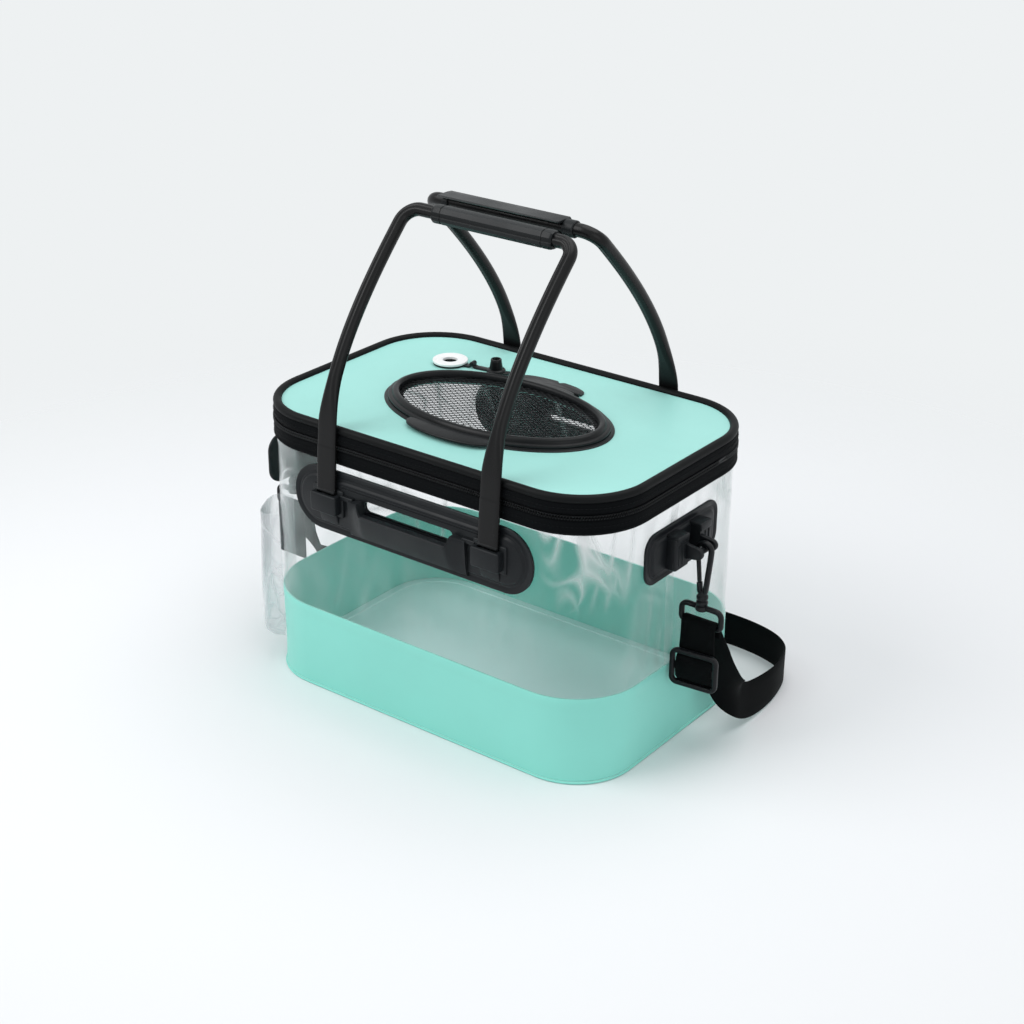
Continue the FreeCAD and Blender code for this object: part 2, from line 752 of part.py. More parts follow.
def gate_room(angle):
    """Room that the gate takes up when it is pressed in by an angle."""
    foot_y, foot_z = gate_point(gate_foot_share)
    room = hook_gate(gate_radius + gate_cut_gap, hook_depth + 2 * cut_overrun)
    room.rotate(V(0, foot_y, foot_z), X_AXIS, angle)
    return room


def snap_hook():
    """Snap hook with its swivel collar, made facing -Y."""
    y = -hook_bar_out
    outer = hull_disc(hook_top_z, hook_top_radius, hook_foot_z, hook_foot_radius, y, y, hook_depth)
    inner_top, inner_foot = hook_top_radius - hook_wire, hook_foot_radius - hook_wire / 2
    inner_depth = hook_depth + 2 * cut_overrun
    inner = hull_disc(hook_top_z, inner_top, hook_foot_z + hook_wire, inner_foot, y, y, inner_depth)
    ring = outer.cut(inner)
    for step in range(gate_room_steps + 1):
        ring = ring.cut(gate_room(gate_swing_deg * step / gate_room_steps))
    collar = Part.makeCylinder(collar_radius, collar_height, V(0, y, collar_z))
    bore = Part.makeCylinder(stem_radius + running_gap, stem_length + cut_overrun + seat_gap,
                             V(0, y, collar_z - cut_overrun))
    collar = collar.cut(inner)
    return ring.fuse(collar).cut(bore).removeSplitter()


def swivel_loop():
    """Strap loop that turns in the hook's collar, made facing -Y."""
    frame = Part.Face(rounded_wire(loop_width, loop_height, loop_corner, 0))
    slot = Part.Face(rounded_wire(loop_slot_width, loop_slot_height, loop_foot / 2, 0))
    slot.translate(V(0, loop_foot - (loop_height - loop_slot_height) / 2, 0))
    loop = frame.cut(slot).extrude(V(0, 0, hook_depth))
    loop.translate(V(0, 0, -hook_depth / 2))
    loop.rotate(V(0, 0, 0), X_AXIS, QUARTER_TURN)
    loop.rotate(V(0, 0, 0), Z_AXIS, QUARTER_TURN)
    loop.translate(V(0, -hook_bar_out, loop_top - loop_height / 2))
    stem_foot = V(0, -hook_bar_out, loop_top - (loop_height - loop_slot_height - loop_foot))
    stem = Part.makeCylinder(stem_radius, loop_top - stem_foot.z + seat_gap + stem_length, stem_foot)
    return loop.fuse(stem).removeSplitter()


def strap_adjuster():
    """Three-bar slide on the strap's doubled end, made facing the front on the right side."""
    middle_z = loop_foot_z - adjuster_drop + adjuster_height / 2 - loop_foot
    frame = Part.Face(rounded_wire(adjuster_width, adjuster_height, adjuster_corner, 0))
    slot_height = (adjuster_height - 2 * adjuster_frame - adjuster_bar) / 2
    for side in (-1, 1):
        slot_width = adjuster_width - 2 * adjuster_frame
        slot = Part.Face(rounded_wire(slot_width, slot_height, slot_height / 2 - seat_gap, 0))
        slot.translate(V(0, side * (adjuster_bar + slot_height) / 2, 0))
        frame = frame.cut(slot)
    slide = frame.extrude(V(0, 0, adjuster_thickness))
    slide.rotate(V(0, 0, 0), X_AXIS, QUARTER_TURN)
    front = fold_radius + webbing_thickness / 2 + seat_gap
    slide.translate(V(hook_bar_out, right_patch_y - front, middle_z))
    return slide


def ribbon(path, across, width):
    """Flat webbing: a path in one plane, offset to the webbing's thickness and made wide."""
    normal_offset = webbing_thickness / 2
    outer = path.makeOffset2D(normal_offset, 0, False, True)
    inner = path.makeOffset2D(-normal_offset, 0, False, True)
    ends = [Part.makeLine(outer.OrderedVertexes[index].Point, inner.OrderedVertexes[index].Point)
            for index in (0, -1)]
    outline = Part.Wire(Part.__sortEdges__(outer.Edges + inner.Edges + ends))
    face = Part.Face(outline)
    face.translate(across * (-width / 2))
    return face.extrude(across * width)


def strap_fall(side, middle_y):
    """Strap end of one side: folded round the loop, down to the floor and back along it."""
    x = side * hook_bar_out
    floor_z = floor_gap + webbing_thickness / 2
    front, back = middle_y - fold_radius, middle_y + fold_radius
    top = V(x, middle_y, loop_foot_z + fold_radius)
    start = V(x, front, loop_foot_z - strap_tail)
    fold_start, fold_end = V(x, front, loop_foot_z), V(x, back, loop_foot_z)
    bend_start = V(x, back, floor_z + fall_bend)
    half = fall_bend * math.sqrt(0.5)
    bend_middle = V(x, back + fall_bend - half, floor_z + fall_bend - half)
    bend_end = V(x, back + fall_bend, floor_z)
    end = V(x, floor_run_end_y, floor_z)
    fold = Part.Arc(fold_start, top, fold_end).toShape()
    floor_turn = Part.Arc(bend_start, bend_middle, bend_end).toShape()
    path = Part.Wire([Part.makeLine(start, fold_start), fold, Part.makeLine(fold_end, bend_start), floor_turn,
                      Part.makeLine(bend_end, end)])
    return ribbon(path, X_AXIS, webbing_width)


def strap_twist(side):
    """Quarter twist from lying flat to standing on edge."""
    x = side * hook_bar_out
    sections = []
    for step in range(twist_steps + 1):
        share = step / twist_steps
        angle = math.radians(QUARTER_TURN * share)
        across = V(math.cos(angle), 0, side * math.sin(angle))
        thick = V(-side * math.sin(angle), 0, math.cos(angle))
        lift = webbing_width / 2 * math.sin(angle) + webbing_thickness / 2 * math.cos(angle)
        y = floor_run_end_y + (twist_end_y - floor_run_end_y) * share
        middle = V(x, y, floor_gap + lift)
        sections.append(leg_rectangle(middle, across, thick, webbing_width, webbing_thickness))
    return Part.makeLoft(sections, True, True)


def strap_rear_run():
    """Strap standing on edge round the back, from one side to the other."""
    z = floor_gap + webbing_width / 2
    half = back_bend * math.sqrt(0.5)
    rear_y = twist_end_y + back_bend
    center_x = hook_bar_out - back_bend
    right, left = V(hook_bar_out, twist_end_y, z), V(-hook_bar_out, twist_end_y, z)
    right_middle = V(center_x + half, twist_end_y + half, z)
    left_middle = V(-center_x - half, twist_end_y + half, z)
    right_end, left_end = V(center_x, rear_y, z), V(-center_x, rear_y, z)
    path = Part.Wire([Part.Arc(right, right_middle, right_end).toShape(), Part.makeLine(right_end, left_end),
                      Part.Arc(left_end, left_middle, left).toShape()])
    return ribbon(path, Z_AXIS, webbing_width)


def side_pocket():
    """Open-topped clear pocket welded on the left side, near the front corner."""
    def room(outset, front, back, bottom, height):
        reach = rim_length / 2 + pocket_depth + cut_overrun
        block = Part.makeBox(reach, back - front, height, V(-reach, front, bottom))
        return block.common(rim_prism(outset, bottom, height))
    outer = room(pocket_depth - wall_inset, pocket_front_y, pocket_back_y, pocket_bottom, pocket_height)
    inner = room(pocket_depth - wall_inset - pocket_skin, pocket_front_y + pocket_skin,
                 pocket_back_y - pocket_skin, pocket_bottom + pocket_skin, pocket_height)
    tub = rim_prism(seat_gap - wall_inset, pocket_bottom - cut_overrun, pocket_height + 2 * cut_overrun)
    return outer.cut(inner).cut(tub)


slider_face = rim_length / 2 + coil_proud + seat_gap
slider_z = lower_coil_z + coil_height - slider_height / 2
pull_pin_z = slider_z - pull_pin_radius - seat_gap
pull_pin_x = -(slider_face + slider_reach / 2)


def zip_slider(middle_y):
    """Slider body that rides on the coil of the left side."""
    body = Part.makeBox(slider_reach, slider_length, slider_height,
                        V(-slider_face - slider_reach, middle_y - slider_length / 2, slider_z))
    outer = [edge for edge in body.Edges if edge.BoundBox.XMax < -slider_face - slider_reach / 2]
    return body.makeFillet(slider_fillet, outer)


def zip_pull(middle_y):
    """Pull tab that hangs from a slider."""
    side_y = middle_y - pull_width / 2
    pin = Part.makeCylinder(pull_pin_radius, pull_width, V(pull_pin_x, side_y, pull_pin_z), Y_AXIS)
    blade = Part.makeBox(pull_thickness, pull_width, pull_length,
                         V(pull_pin_x - pull_thickness / 2, side_y, pull_pin_z - pull_length))
    corners = [edge for edge in blade.Edges if edge.BoundBox.ZMax < pull_pin_z - pull_length / 2
               and edge.BoundBox.YLength < seat_gap]
    return pin.fuse(blade.makeFillet(pull_width / 2 - seat_gap, corners)).removeSplitter()


def build():
    """All pieces by name."""
    rear_y, rear_z = -rear_grip_y, rear_grip_z
    plate = long_side_plate()
    patch = side_patch()
    hook = snap_hook()
    gate = hook_gate(gate_radius, hook_depth)
    loop = swivel_loop()
    ahead, behind = slider_middle_y - slider_spacing / 2, slider_middle_y + slider_spacing / 2
    return {
        "tub_floor": tub_floor(),
        "floor_weld_bead": floor_bead(),
        "tub_band": tub_band(),
        "clear_wall": clear_wall(),
        "side_pocket": side_pocket(),
        "lower_zip_tape": lower_tape(),
        "lower_zip_coil": lower_coil(),
        "lid_hinge_cord": lid_hinge_cord(),
        "front_plate": plate,
        "rear_plate": turned(plate, HALF_TURN),
        "right_patch": to_right(patch, right_patch_y),
        "left_patch": to_left(patch, left_patch_y),
        "upper_zip_tape": upper_tape(),
        "upper_zip_coil": upper_coil(),
        "lid_piping": lid_piping(),
        "lid_panel": lid_panel(),
        "hatch_seat": hatch_seat(),
        "hatch_hinge_tab": hatch_hinge_tab(),
        "hatch_frame": hatch_frame(),
        "hatch_mesh": hatch_mesh(),
        "air_port": air_port(),
        "plug_tether": plug_tether(),
        "port_plug": port_plug(),
        "front_handle_straps": handle_straps(front_grip_y, front_grip_z),
        "front_handle_tube": handle_tube(front_grip_y, front_grip_z),
        "front_grip": front_grip(),
        "rear_handle_straps": turned(handle_straps(rear_y, rear_z), HALF_TURN),
        "rear_handle_tube": turned(handle_tube(rear_y, rear_z), HALF_TURN),
        "rear_clip_grip": rear_grip(),
        "right_hook": to_right(hook, right_patch_y),
        "right_hook_gate": to_right(gate, right_patch_y),
        "right_swivel_loop": to_right(loop, right_patch_y),
        "left_hook": to_left(hook, left_patch_y),
        "left_hook_gate": to_left(gate, left_patch_y),
        "left_swivel_loop": to_left(loop, left_patch_y),
        "strap_adjuster": strap_adjuster(),
        "strap_right_fall": strap_fall(1, right_patch_y),
        "strap_right_twist": strap_twist(1),
        "strap_rear_run": strap_rear_run(),
        "strap_left_twist": strap_twist(-1),
        "strap_left_fall": strap_fall(-1, left_patch_y),
        "zip_slider_front": zip_slider(ahead),
        "zip_pull_front": zip_pull(ahead),
        "zip_slider_rear": zip_slider(behind),
        "zip_pull_rear": zip_pull(behind),
    }


os.makedirs("parts", exist_ok=True)
for name, shape in build().items():
    solids = shape.Solids
    volume = round(sum(solid.Volume for solid in solids), 1)
    print(name, "solids", len(solids), "valid", shape.isValid(), "volume", volume)
    shape.exportStep("parts/" + name + ".step")
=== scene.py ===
"""Dressed folding fishing bucket: soft clear tub, zipped lid, carry handles and shoulder strap.

Sizes are in millimetres and are turned into metres where they meet Blender. The front faces -Y, the
side with the strap's adjuster is +X, and the bucket stands on the plane z = 0.
"""
import logging
import math
from collections.abc import Callable, Iterator, Sequence
from contextlib import contextmanager
from dataclasses import dataclass, field
from enum import Enum

import bmesh
import bpy
from mathutils import Matrix, Vector, noise


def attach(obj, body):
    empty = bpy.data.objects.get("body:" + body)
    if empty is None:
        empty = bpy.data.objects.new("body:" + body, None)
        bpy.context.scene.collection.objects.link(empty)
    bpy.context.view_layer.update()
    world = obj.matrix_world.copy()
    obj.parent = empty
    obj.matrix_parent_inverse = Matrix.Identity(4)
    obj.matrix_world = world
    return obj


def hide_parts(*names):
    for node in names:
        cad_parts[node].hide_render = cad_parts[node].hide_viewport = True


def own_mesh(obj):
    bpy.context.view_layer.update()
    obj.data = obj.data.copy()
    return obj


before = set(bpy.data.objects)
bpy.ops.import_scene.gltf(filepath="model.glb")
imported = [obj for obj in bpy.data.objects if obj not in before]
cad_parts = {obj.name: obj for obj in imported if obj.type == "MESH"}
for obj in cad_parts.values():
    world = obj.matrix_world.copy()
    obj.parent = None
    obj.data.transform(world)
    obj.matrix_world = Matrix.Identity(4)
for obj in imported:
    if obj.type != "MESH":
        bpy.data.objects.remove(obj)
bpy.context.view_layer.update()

LOG = logging.getLogger("bucket")
MM = 0.001
Piece = bpy.types.Object
Outline = list[Vector]
Section = Sequence[tuple[float, float]]


def mm(x: float, y: float, z: float) -> Vector:
    """Point in metres from millimetres."""
    return Vector((x, y, z)) * MM


def srgb(red: int, green: int, blue: int) -> tuple[float, float, float, float]:
    """Linear colour from the usual eight-bit values."""
    def linear(value: int) -> float:
        """One channel without its display curve."""
        share = value / 255
        return share / 12.92 if share <= 0.04045 else ((share + 0.055) / 1.055) ** 2.4
    return (linear(red), linear(green), linear(blue), 1.0)


def smooth_step(value: float, low: float, high: float) -> float:
    """Share from 0 at low to 1 at high, level at both ends."""
    share = min(1.0, max(0.0, (value - low) / (high - low)))
    return share * share * (3 - 2 * share)


class Slot(Enum):
    """Material slots of the record."""
    MINT = "mint_sheet"
    CLEAR = "clear_sheet"
    MOULD = "black_moulding"
    WEBBING = "black_webbing"
    TAPE = "zip_tape"
    COIL = "zip_coil"
    RUBBER = "black_rubber"
    WHITE = "white_plastic"
    NET = "mesh_net"
    PIPING = "black_piping"
    TUBE = "handle_tube"
    GRIP = "grip_moulding"
    METAL = "slider_metal"


class Side(Enum):
    """Sides of the bucket, as turns of a piece made facing -Y."""
    FRONT = 0
    RIGHT = 90
    REAR = 180
    LEFT = -90


class Bench:
    """Workbench: Blender's modelling operators, with sizes in millimetres."""

    @staticmethod
    def clear() -> None:
        """Leaves edit mode and deselects everything."""
        active = bpy.context.view_layer.objects.active
        if active is not None and active.mode != "OBJECT":
            bpy.ops.object.mode_set(mode="OBJECT")
        bpy.ops.object.select_all(action="DESELECT")

    @classmethod
    def take(cls, piece: Piece) -> Piece:
        """Makes a piece the only one selected."""
        cls.clear()
        piece.select_set(True)
        bpy.context.view_layer.objects.active = piece
        return piece

    @classmethod
    @contextmanager
    def edit(cls, piece: Piece) -> Iterator[bmesh.types.BMesh]:
        """Edit mode on one piece, with nothing selected."""
        cls.take(piece)
        bpy.ops.object.mode_set(mode="EDIT")
        bpy.ops.mesh.select_all(action="DESELECT")
        yield bmesh.from_edit_mesh(piece.data)
        bmesh.update_edit_mesh(piece.data)
        bpy.ops.object.mode_set(mode="OBJECT")

    @classmethod
    def settle(cls, piece: Piece, name: str) -> Piece:
        """Names a new piece and puts its place, turn and scale into its mesh."""
        piece.name = name
        piece.data.name = name
        cls.take(piece)
        bpy.ops.object.transform_apply(location=True, rotation=True, scale=True)
        return piece

    @classmethod
    def block(cls, name: str, low: Sequence[float], high: Sequence[float], bevel: float = 0.0,
              segments: int = 3) -> Piece:
        """Rounded block between two corners.

        Args:
            name: Name of the piece.
            low: Lowest corner.
            high: Highest corner.
            bevel: Width of the rounding on every edge.
            segments: Steps of the rounding.

        Returns:
            The new piece.
        """
        cls.clear()
        middle = [(a + b) / 2 for a, b in zip(low, high)]
        bpy.ops.mesh.primitive_cube_add(size=1.0, location=mm(*middle))
        piece = bpy.context.object
        piece.scale = mm(*[b - a for a, b in zip(low, high)])
        cls.settle(piece, name)
        if bevel:
            with cls.edit(piece):
                bpy.ops.mesh.select_all(action="SELECT")
                bpy.ops.mesh.bevel(offset=bevel * MM, offset_type="OFFSET", segments=segments, affect="EDGES")
        return piece

    @classmethod
    def plate(cls, name: str, length: float, width: float, radius: float, thickness: float,
              segments: int = 10) -> Piece:
        """Flat rounded plate on the plane z = 0, made thick upwards.

        Args:
            name: Name of the piece.
            length: Size along X.
            width: Size along Y.
            radius: Corner radius.
            thickness: Height.
            segments: Steps of each corner.

        Returns:
            The new piece.
        """
        cls.clear()
        bpy.ops.mesh.primitive_plane_add(size=1.0)
        piece = bpy.context.object
        piece.scale = (length * MM, width * MM, 1.0)
        cls.settle(piece, name)
        with cls.edit(piece):
            bpy.ops.mesh.select_all(action="SELECT")
            bpy.ops.mesh.bevel(offset=radius * MM, offset_type="OFFSET", segments=segments, affect="VERTICES")
            bpy.ops.mesh.select_all(action="SELECT")
            bpy.ops.mesh.extrude_region_move(TRANSFORM_OT_translate={"value": (0, 0, thickness * MM)})
            bpy.ops.mesh.select_all(action="SELECT")
            bpy.ops.mesh.normals_make_consistent(inside=False)
        return piece

    @classmethod
    def raise_top(cls, piece: Piece, steps: Section) -> Piece:
        """Insets the topmost face again and again, each time by a width and a lift.

        Args:
            piece: Plate with one flat top.
            steps: Pairs of inset width and lift.

        Returns:
            The same piece.
        """
        with cls.edit(piece) as mesh:
            bpy.ops.mesh.select_mode(type="FACE")
            top = max(face.calc_center_median().z for face in mesh.faces)
            for face in mesh.faces:
                face.select_set(face.normal.z > 0.9 and face.calc_center_median().z > top - 1e-6)
            for width, lift in steps:
                bpy.ops.mesh.inset(thickness=width * MM, depth=lift * MM, use_even_offset=True)
            bpy.ops.mesh.select_mode(type="VERT")
        return piece

    @classmethod
    def loft(cls, name: str, rings: Sequence[Outline], ring_closed: bool = True, caps: bool = True,
             looped: bool = False) -> Piece:
        """Skin drawn through rings of points by extruding a circle's edges from ring to ring.

        Args:
            name: Name of the piece.
            rings: Rings with equal numbers of points, in metres.
            ring_closed: Whether each ring closes on itself.
            caps: Whether the first and last ring are filled.
            looped: Whether the last ring joins the first.

        Returns:
            The new piece.
        """
        cls.clear()
        bpy.ops.mesh.primitive_circle_add(vertices=len(rings[0]), radius=1.0)
        piece = bpy.context.object
        cls.settle(piece, name)
        closed = list(rings) + ([rings[0]] if looped else [])
        with cls.edit(piece) as mesh:
            mesh.verts.ensure_lookup_table()
            row = list(mesh.verts)
            if not ring_closed:
                for edge in mesh.edges:
                    edge.select_set({row[0], row[-1]} == set(edge.verts))
                bpy.ops.mesh.delete(type="EDGE")
                mesh.verts.ensure_lookup_table()
                row = list(mesh.verts)
            first = row
            cls._set_row(row, closed[0])
            for vertex in row:
                vertex.select_set(True)
            mesh.select_flush(True)
            for ring in closed[1:]:
                bpy.ops.mesh.extrude_edges_move()
                row = [next(other for edge in vertex.link_edges
                            if (other := edge.other_vert(vertex)).select) for vertex in row]
                cls._set_row(row, ring)
            if looped:
                bpy.ops.mesh.select_all(action="SELECT")
                bpy.ops.mesh.remove_doubles(threshold=1e-7)
            elif caps and ring_closed:
                for end in (first, row):
                    bpy.ops.mesh.select_all(action="DESELECT")
                    for vertex in end:
                        vertex.select_set(True)
                    mesh.select_flush(True)
                    bpy.ops.mesh.edge_face_add()
            bpy.ops.mesh.select_all(action="SELECT")
            bpy.ops.mesh.normals_make_consistent(inside=False)
        return piece

    @staticmethod
    def _set_row(row: Sequence[bmesh.types.BMVert], ring: Outline) -> None:
        """Puts a row of vertices on the points of a ring."""
        for vertex, point in zip(row, ring):
            vertex.co = point

    @classmethod
    def sweep(cls, name: str, path: Outline, section: Callable[[int], Section], up: Callable[[int], Vector],
              looped: bool = False) -> Piece:
        """Section carried along a path.

        Args:
            name: Name of the piece.
            path: Points of the path, in metres.
            section: Gives the section at a path point, as pairs of side and up in millimetres.
            up: Gives the section's up direction at a path point.
            looped: Whether the path closes on itself.

        Returns:
            The new piece.
        """
        rings = []
        for index, point in enumerate(path):
            before = path[index - 1] if looped or index else point
            after = path[(index + 1) % len(path)] if looped or index + 1 < len(path) else point
            along = (after - before).normalized()
            side = along.cross(up(index)).normalized()
            rise = side.cross(along)
            rings.append([point + side * (a * MM) + rise * (b * MM) for a, b in section(index)])
        return cls.loft(name, rings, looped=looped)

    @classmethod
    def lathe(cls, name: str, center: Vector, section: Section, steps: int = 40) -> Piece:
        """Turned ring round an upright axis.

        Args:
            name: Name of the piece.
            center: Point on the axis, in metres.
            section: Closed section as pairs of radius and height in millimetres.
            steps: Steps round the axis.

        Returns:
            The new piece.
        """
        rings = []
        for radius, height in section:
            rings.append([center + mm(radius * math.cos(turn), radius * math.sin(turn), height)
                          for turn in (math.tau * step / steps for step in range(steps))])
        return cls.loft(name, rings, looped=True)

    @classmethod
    def modify(cls, piece: Piece, kind: str, **settings: object) -> Piece:
        """Adds a modifier with its settings and applies it."""
        cls.take(piece)
        modifier = piece.modifiers.new(kind.lower(), kind)
        for key, value in settings.items():
            setattr(modifier, key, value)
        bpy.ops.object.modifier_apply(modifier=modifier.name)
        return piece

    @classmethod
    def round_edges(cls, piece: Piece, width: float, segments: int = 2, angle: float = 35.0) -> Piece:
        """Rounds all sharp edges of a piece."""
        return cls.modify(piece, "BEVEL", width=width * MM, segments=segments, limit_method="ANGLE",
                          angle_limit=math.radians(angle), use_clamp_overlap=True)

    @classmethod
    def thicken(cls, piece: Piece, thickness: float, offset: float = -1.0) -> Piece:
        """Gives a sheet its thickness."""
        return cls.modify(piece, "SOLIDIFY", thickness=thickness * MM, offset=offset, use_even_offset=True)

    @classmethod
    def cut(cls, piece: Piece, tool: Piece) -> Piece:
        """Cuts a tool's shape out of a piece and removes the tool."""
        cls.modify(piece, "BOOLEAN", object=tool, operation="DIFFERENCE", solver="EXACT")
        bpy.data.objects.remove(tool, do_unlink=True)
        return piece

    @classmethod
    def join(cls, name: str, pieces: Sequence[Piece]) -> Piece:
        """One piece from several."""
        cls.take(pieces[0])
        for piece in pieces[1:]:
            piece.select_set(True)
        bpy.ops.object.join()
        pieces[0].name = name
        pieces[0].data.name = name
        return pieces[0]

    @classmethod
    def copy(cls, piece: Piece, name: str, move: Matrix) -> Piece:
        """Copy of a piece with its own mesh, moved."""
        cls.take(piece)
        bpy.ops.object.duplicate(linked=False)
        twin = bpy.context.object
        return cls.place(twin, name, move)

    @classmethod
    def place(cls, piece: Piece, name: str, move: Matrix) -> Piece:
        """Moves a piece and keeps the move in its mesh."""
        piece.matrix_world = move @ piece.matrix_world
        return cls.settle(piece, name)

    @classmethod
    def smooth(cls, piece: Piece, angle: float = 40.0) -> Piece:
        """Shades a piece smooth across edges below an angle."""
        cls.take(piece)
        bpy.ops.object.shade_smooth_by_angle(angle=math.radians(angle))
        return piece

    @staticmethod
    def shift(piece: Piece, offset: Callable[[Vector], Vector]) -> Piece:
        """Moves every vertex of a piece by an offset that depends on its place, in metres."""
        for vertex in piece.data.vertices:
            vertex.co = vertex.co + offset(vertex.co)
        piece.data.update()
        return piece


def stand(side: Side, face: float, along: float, height: float) -> Matrix:
    """Move that stands a flat piece upright on one side of the bucket.

    Args:
        side: Side of the bucket.
        face: Distance of the piece's back from the middle.
        along: Place of the piece's middle along that side, as a Y or X value of that side.
        height: Height of the piece's middle.

    Returns:
        Matrix from the flat piece to its place.
    """
    upright = Matrix.Translation(mm(0, -face, height)) @ Matrix.Rotation(math.pi / 2, 4, "X")
    shift = mm(0, along, 0) if side in (Side.RIGHT, Side.LEFT) else mm(along, 0, 0)
    return Matrix.Translation(shift) @ Matrix.Rotation(math.radians(side.value), 4, "Z") @ upright


def circle_section(radius: float, steps: int = 12) -> Section:
    """Round section."""
    return [(radius * math.cos(math.tau * step / steps), radius * math.sin(math.tau * step / steps))
            for step in range(steps)]


def rounded_section(width: float, height: float, radius: float, steps: int = 3) -> Section:
    """Section of a rounded rectangle."""
    points = []
    for turn, (sx, sy) in enumerate(((1, 1), (-1, 1), (-1, -1), (1, -1))):
        for step in range(steps + 1):
            angle = math.pi / 2 * (turn + step / steps)
            points.append((sx * (width / 2 - radius) + radius * math.cos(angle),
                           sy * (height / 2 - radius) + radius * math.sin(angle)))
    return points


@dataclass(frozen=True)
class Rim:
    """Rounded outline that the tub, the zipper and the lid follow."""
    length: float = 350.0
    width: float = 232.0
    corner: float = 61.5

    def loop(self, outset: float, z: float, corner_steps: int = 14, long_steps: int = 24, short_steps: int = 14,
             corner: float | None = None) -> Outline:
        """Points of the outline.

        Args:
            outset: Distance outside the rim.
            z: Height.
            corner_steps: Steps of each corner.
            long_steps: Steps of each long side.
            short_steps: Steps of each short side.
            corner: Corner radius, where it isn't the rim's own.

        Returns:
            Points from the right side round by the rear, in metres.
        """
        radius = self.corner + outset if corner is None else corner
        x, y = self.length / 2 + outset, self.width / 2 + outset
        points: Outline = []
        corners = ((1, 1), (-1, 1), (-1, -1), (1, -1))
        for turn, (sx, sy) in enumerate(corners):
            center = (sx * (x - radius), sy * (y - radius))
            for step in range(corner_steps):
                angle = math.pi / 2 * (turn + step / corner_steps)
                points.append(mm(center[0] + radius * math.cos(angle), center[1] + radius * math.sin(angle), z))
            start_angle = math.pi / 2 * (turn + 1)
            start = mm(center[0] + radius * math.cos(start_angle), center[1] + radius * math.sin(start_angle), z)
            nx, ny = corners[(turn + 1) % 4]
            end = mm(nx * (x - radius) + radius * math.cos(start_angle),
                     ny * (y - radius) + radius * math.sin(start_angle), z)
            steps = long_steps if turn % 2 == 0 else short_steps
            points += [start.lerp(end, step / steps) for step in range(steps)]
        return points

    def even_loop(self, outset: float, z: float, pitch: float, multiple: int) -> Outline:
        """Points of the outline at even distances, a whole number of groups of them."""
        rough = self.loop(outset, z, 40, 2, 2)
        lengths = [0.0]
        for index, point in enumerate(rough):
            lengths.append(lengths[-1] + (rough[(index + 1) % len(rough)] - point).length)
        count = int(lengths[-1] / (pitch * MM * multiple)) * multiple
        points, segment = [], 0
        for index in range(count):
            at = lengths[-1] * index / count
            while lengths[segment + 1] < at:
                segment += 1
            share = (at - lengths[segment]) / (lengths[segment + 1] - lengths[segment])
            points.append(rough[segment].lerp(rough[(segment + 1) % len(rough)], share))
        return points

    def outward(self, point: Vector) -> Vector:
        """Direction out of the outline, level, at a point near it."""
        core_x = self.length / 2 - self.corner
        core_y = self.width / 2 - self.corner
        x, y = point.x / MM, point.y / MM
        away = Vector((x - max(-core_x, min(core_x, x)), y - max(-core_y, min(core_y, y)), 0))
        return away.normalized() if away.length > 1e-9 else Vector((1, 0, 0))

    def band(self, name: str, section: Section) -> Piece:
        """Band round the outline with a closed section of outset and height."""
        return Bench.loft(name, [self.loop(outset, z) for outset, z in section], looped=True)


RIM = Rim()


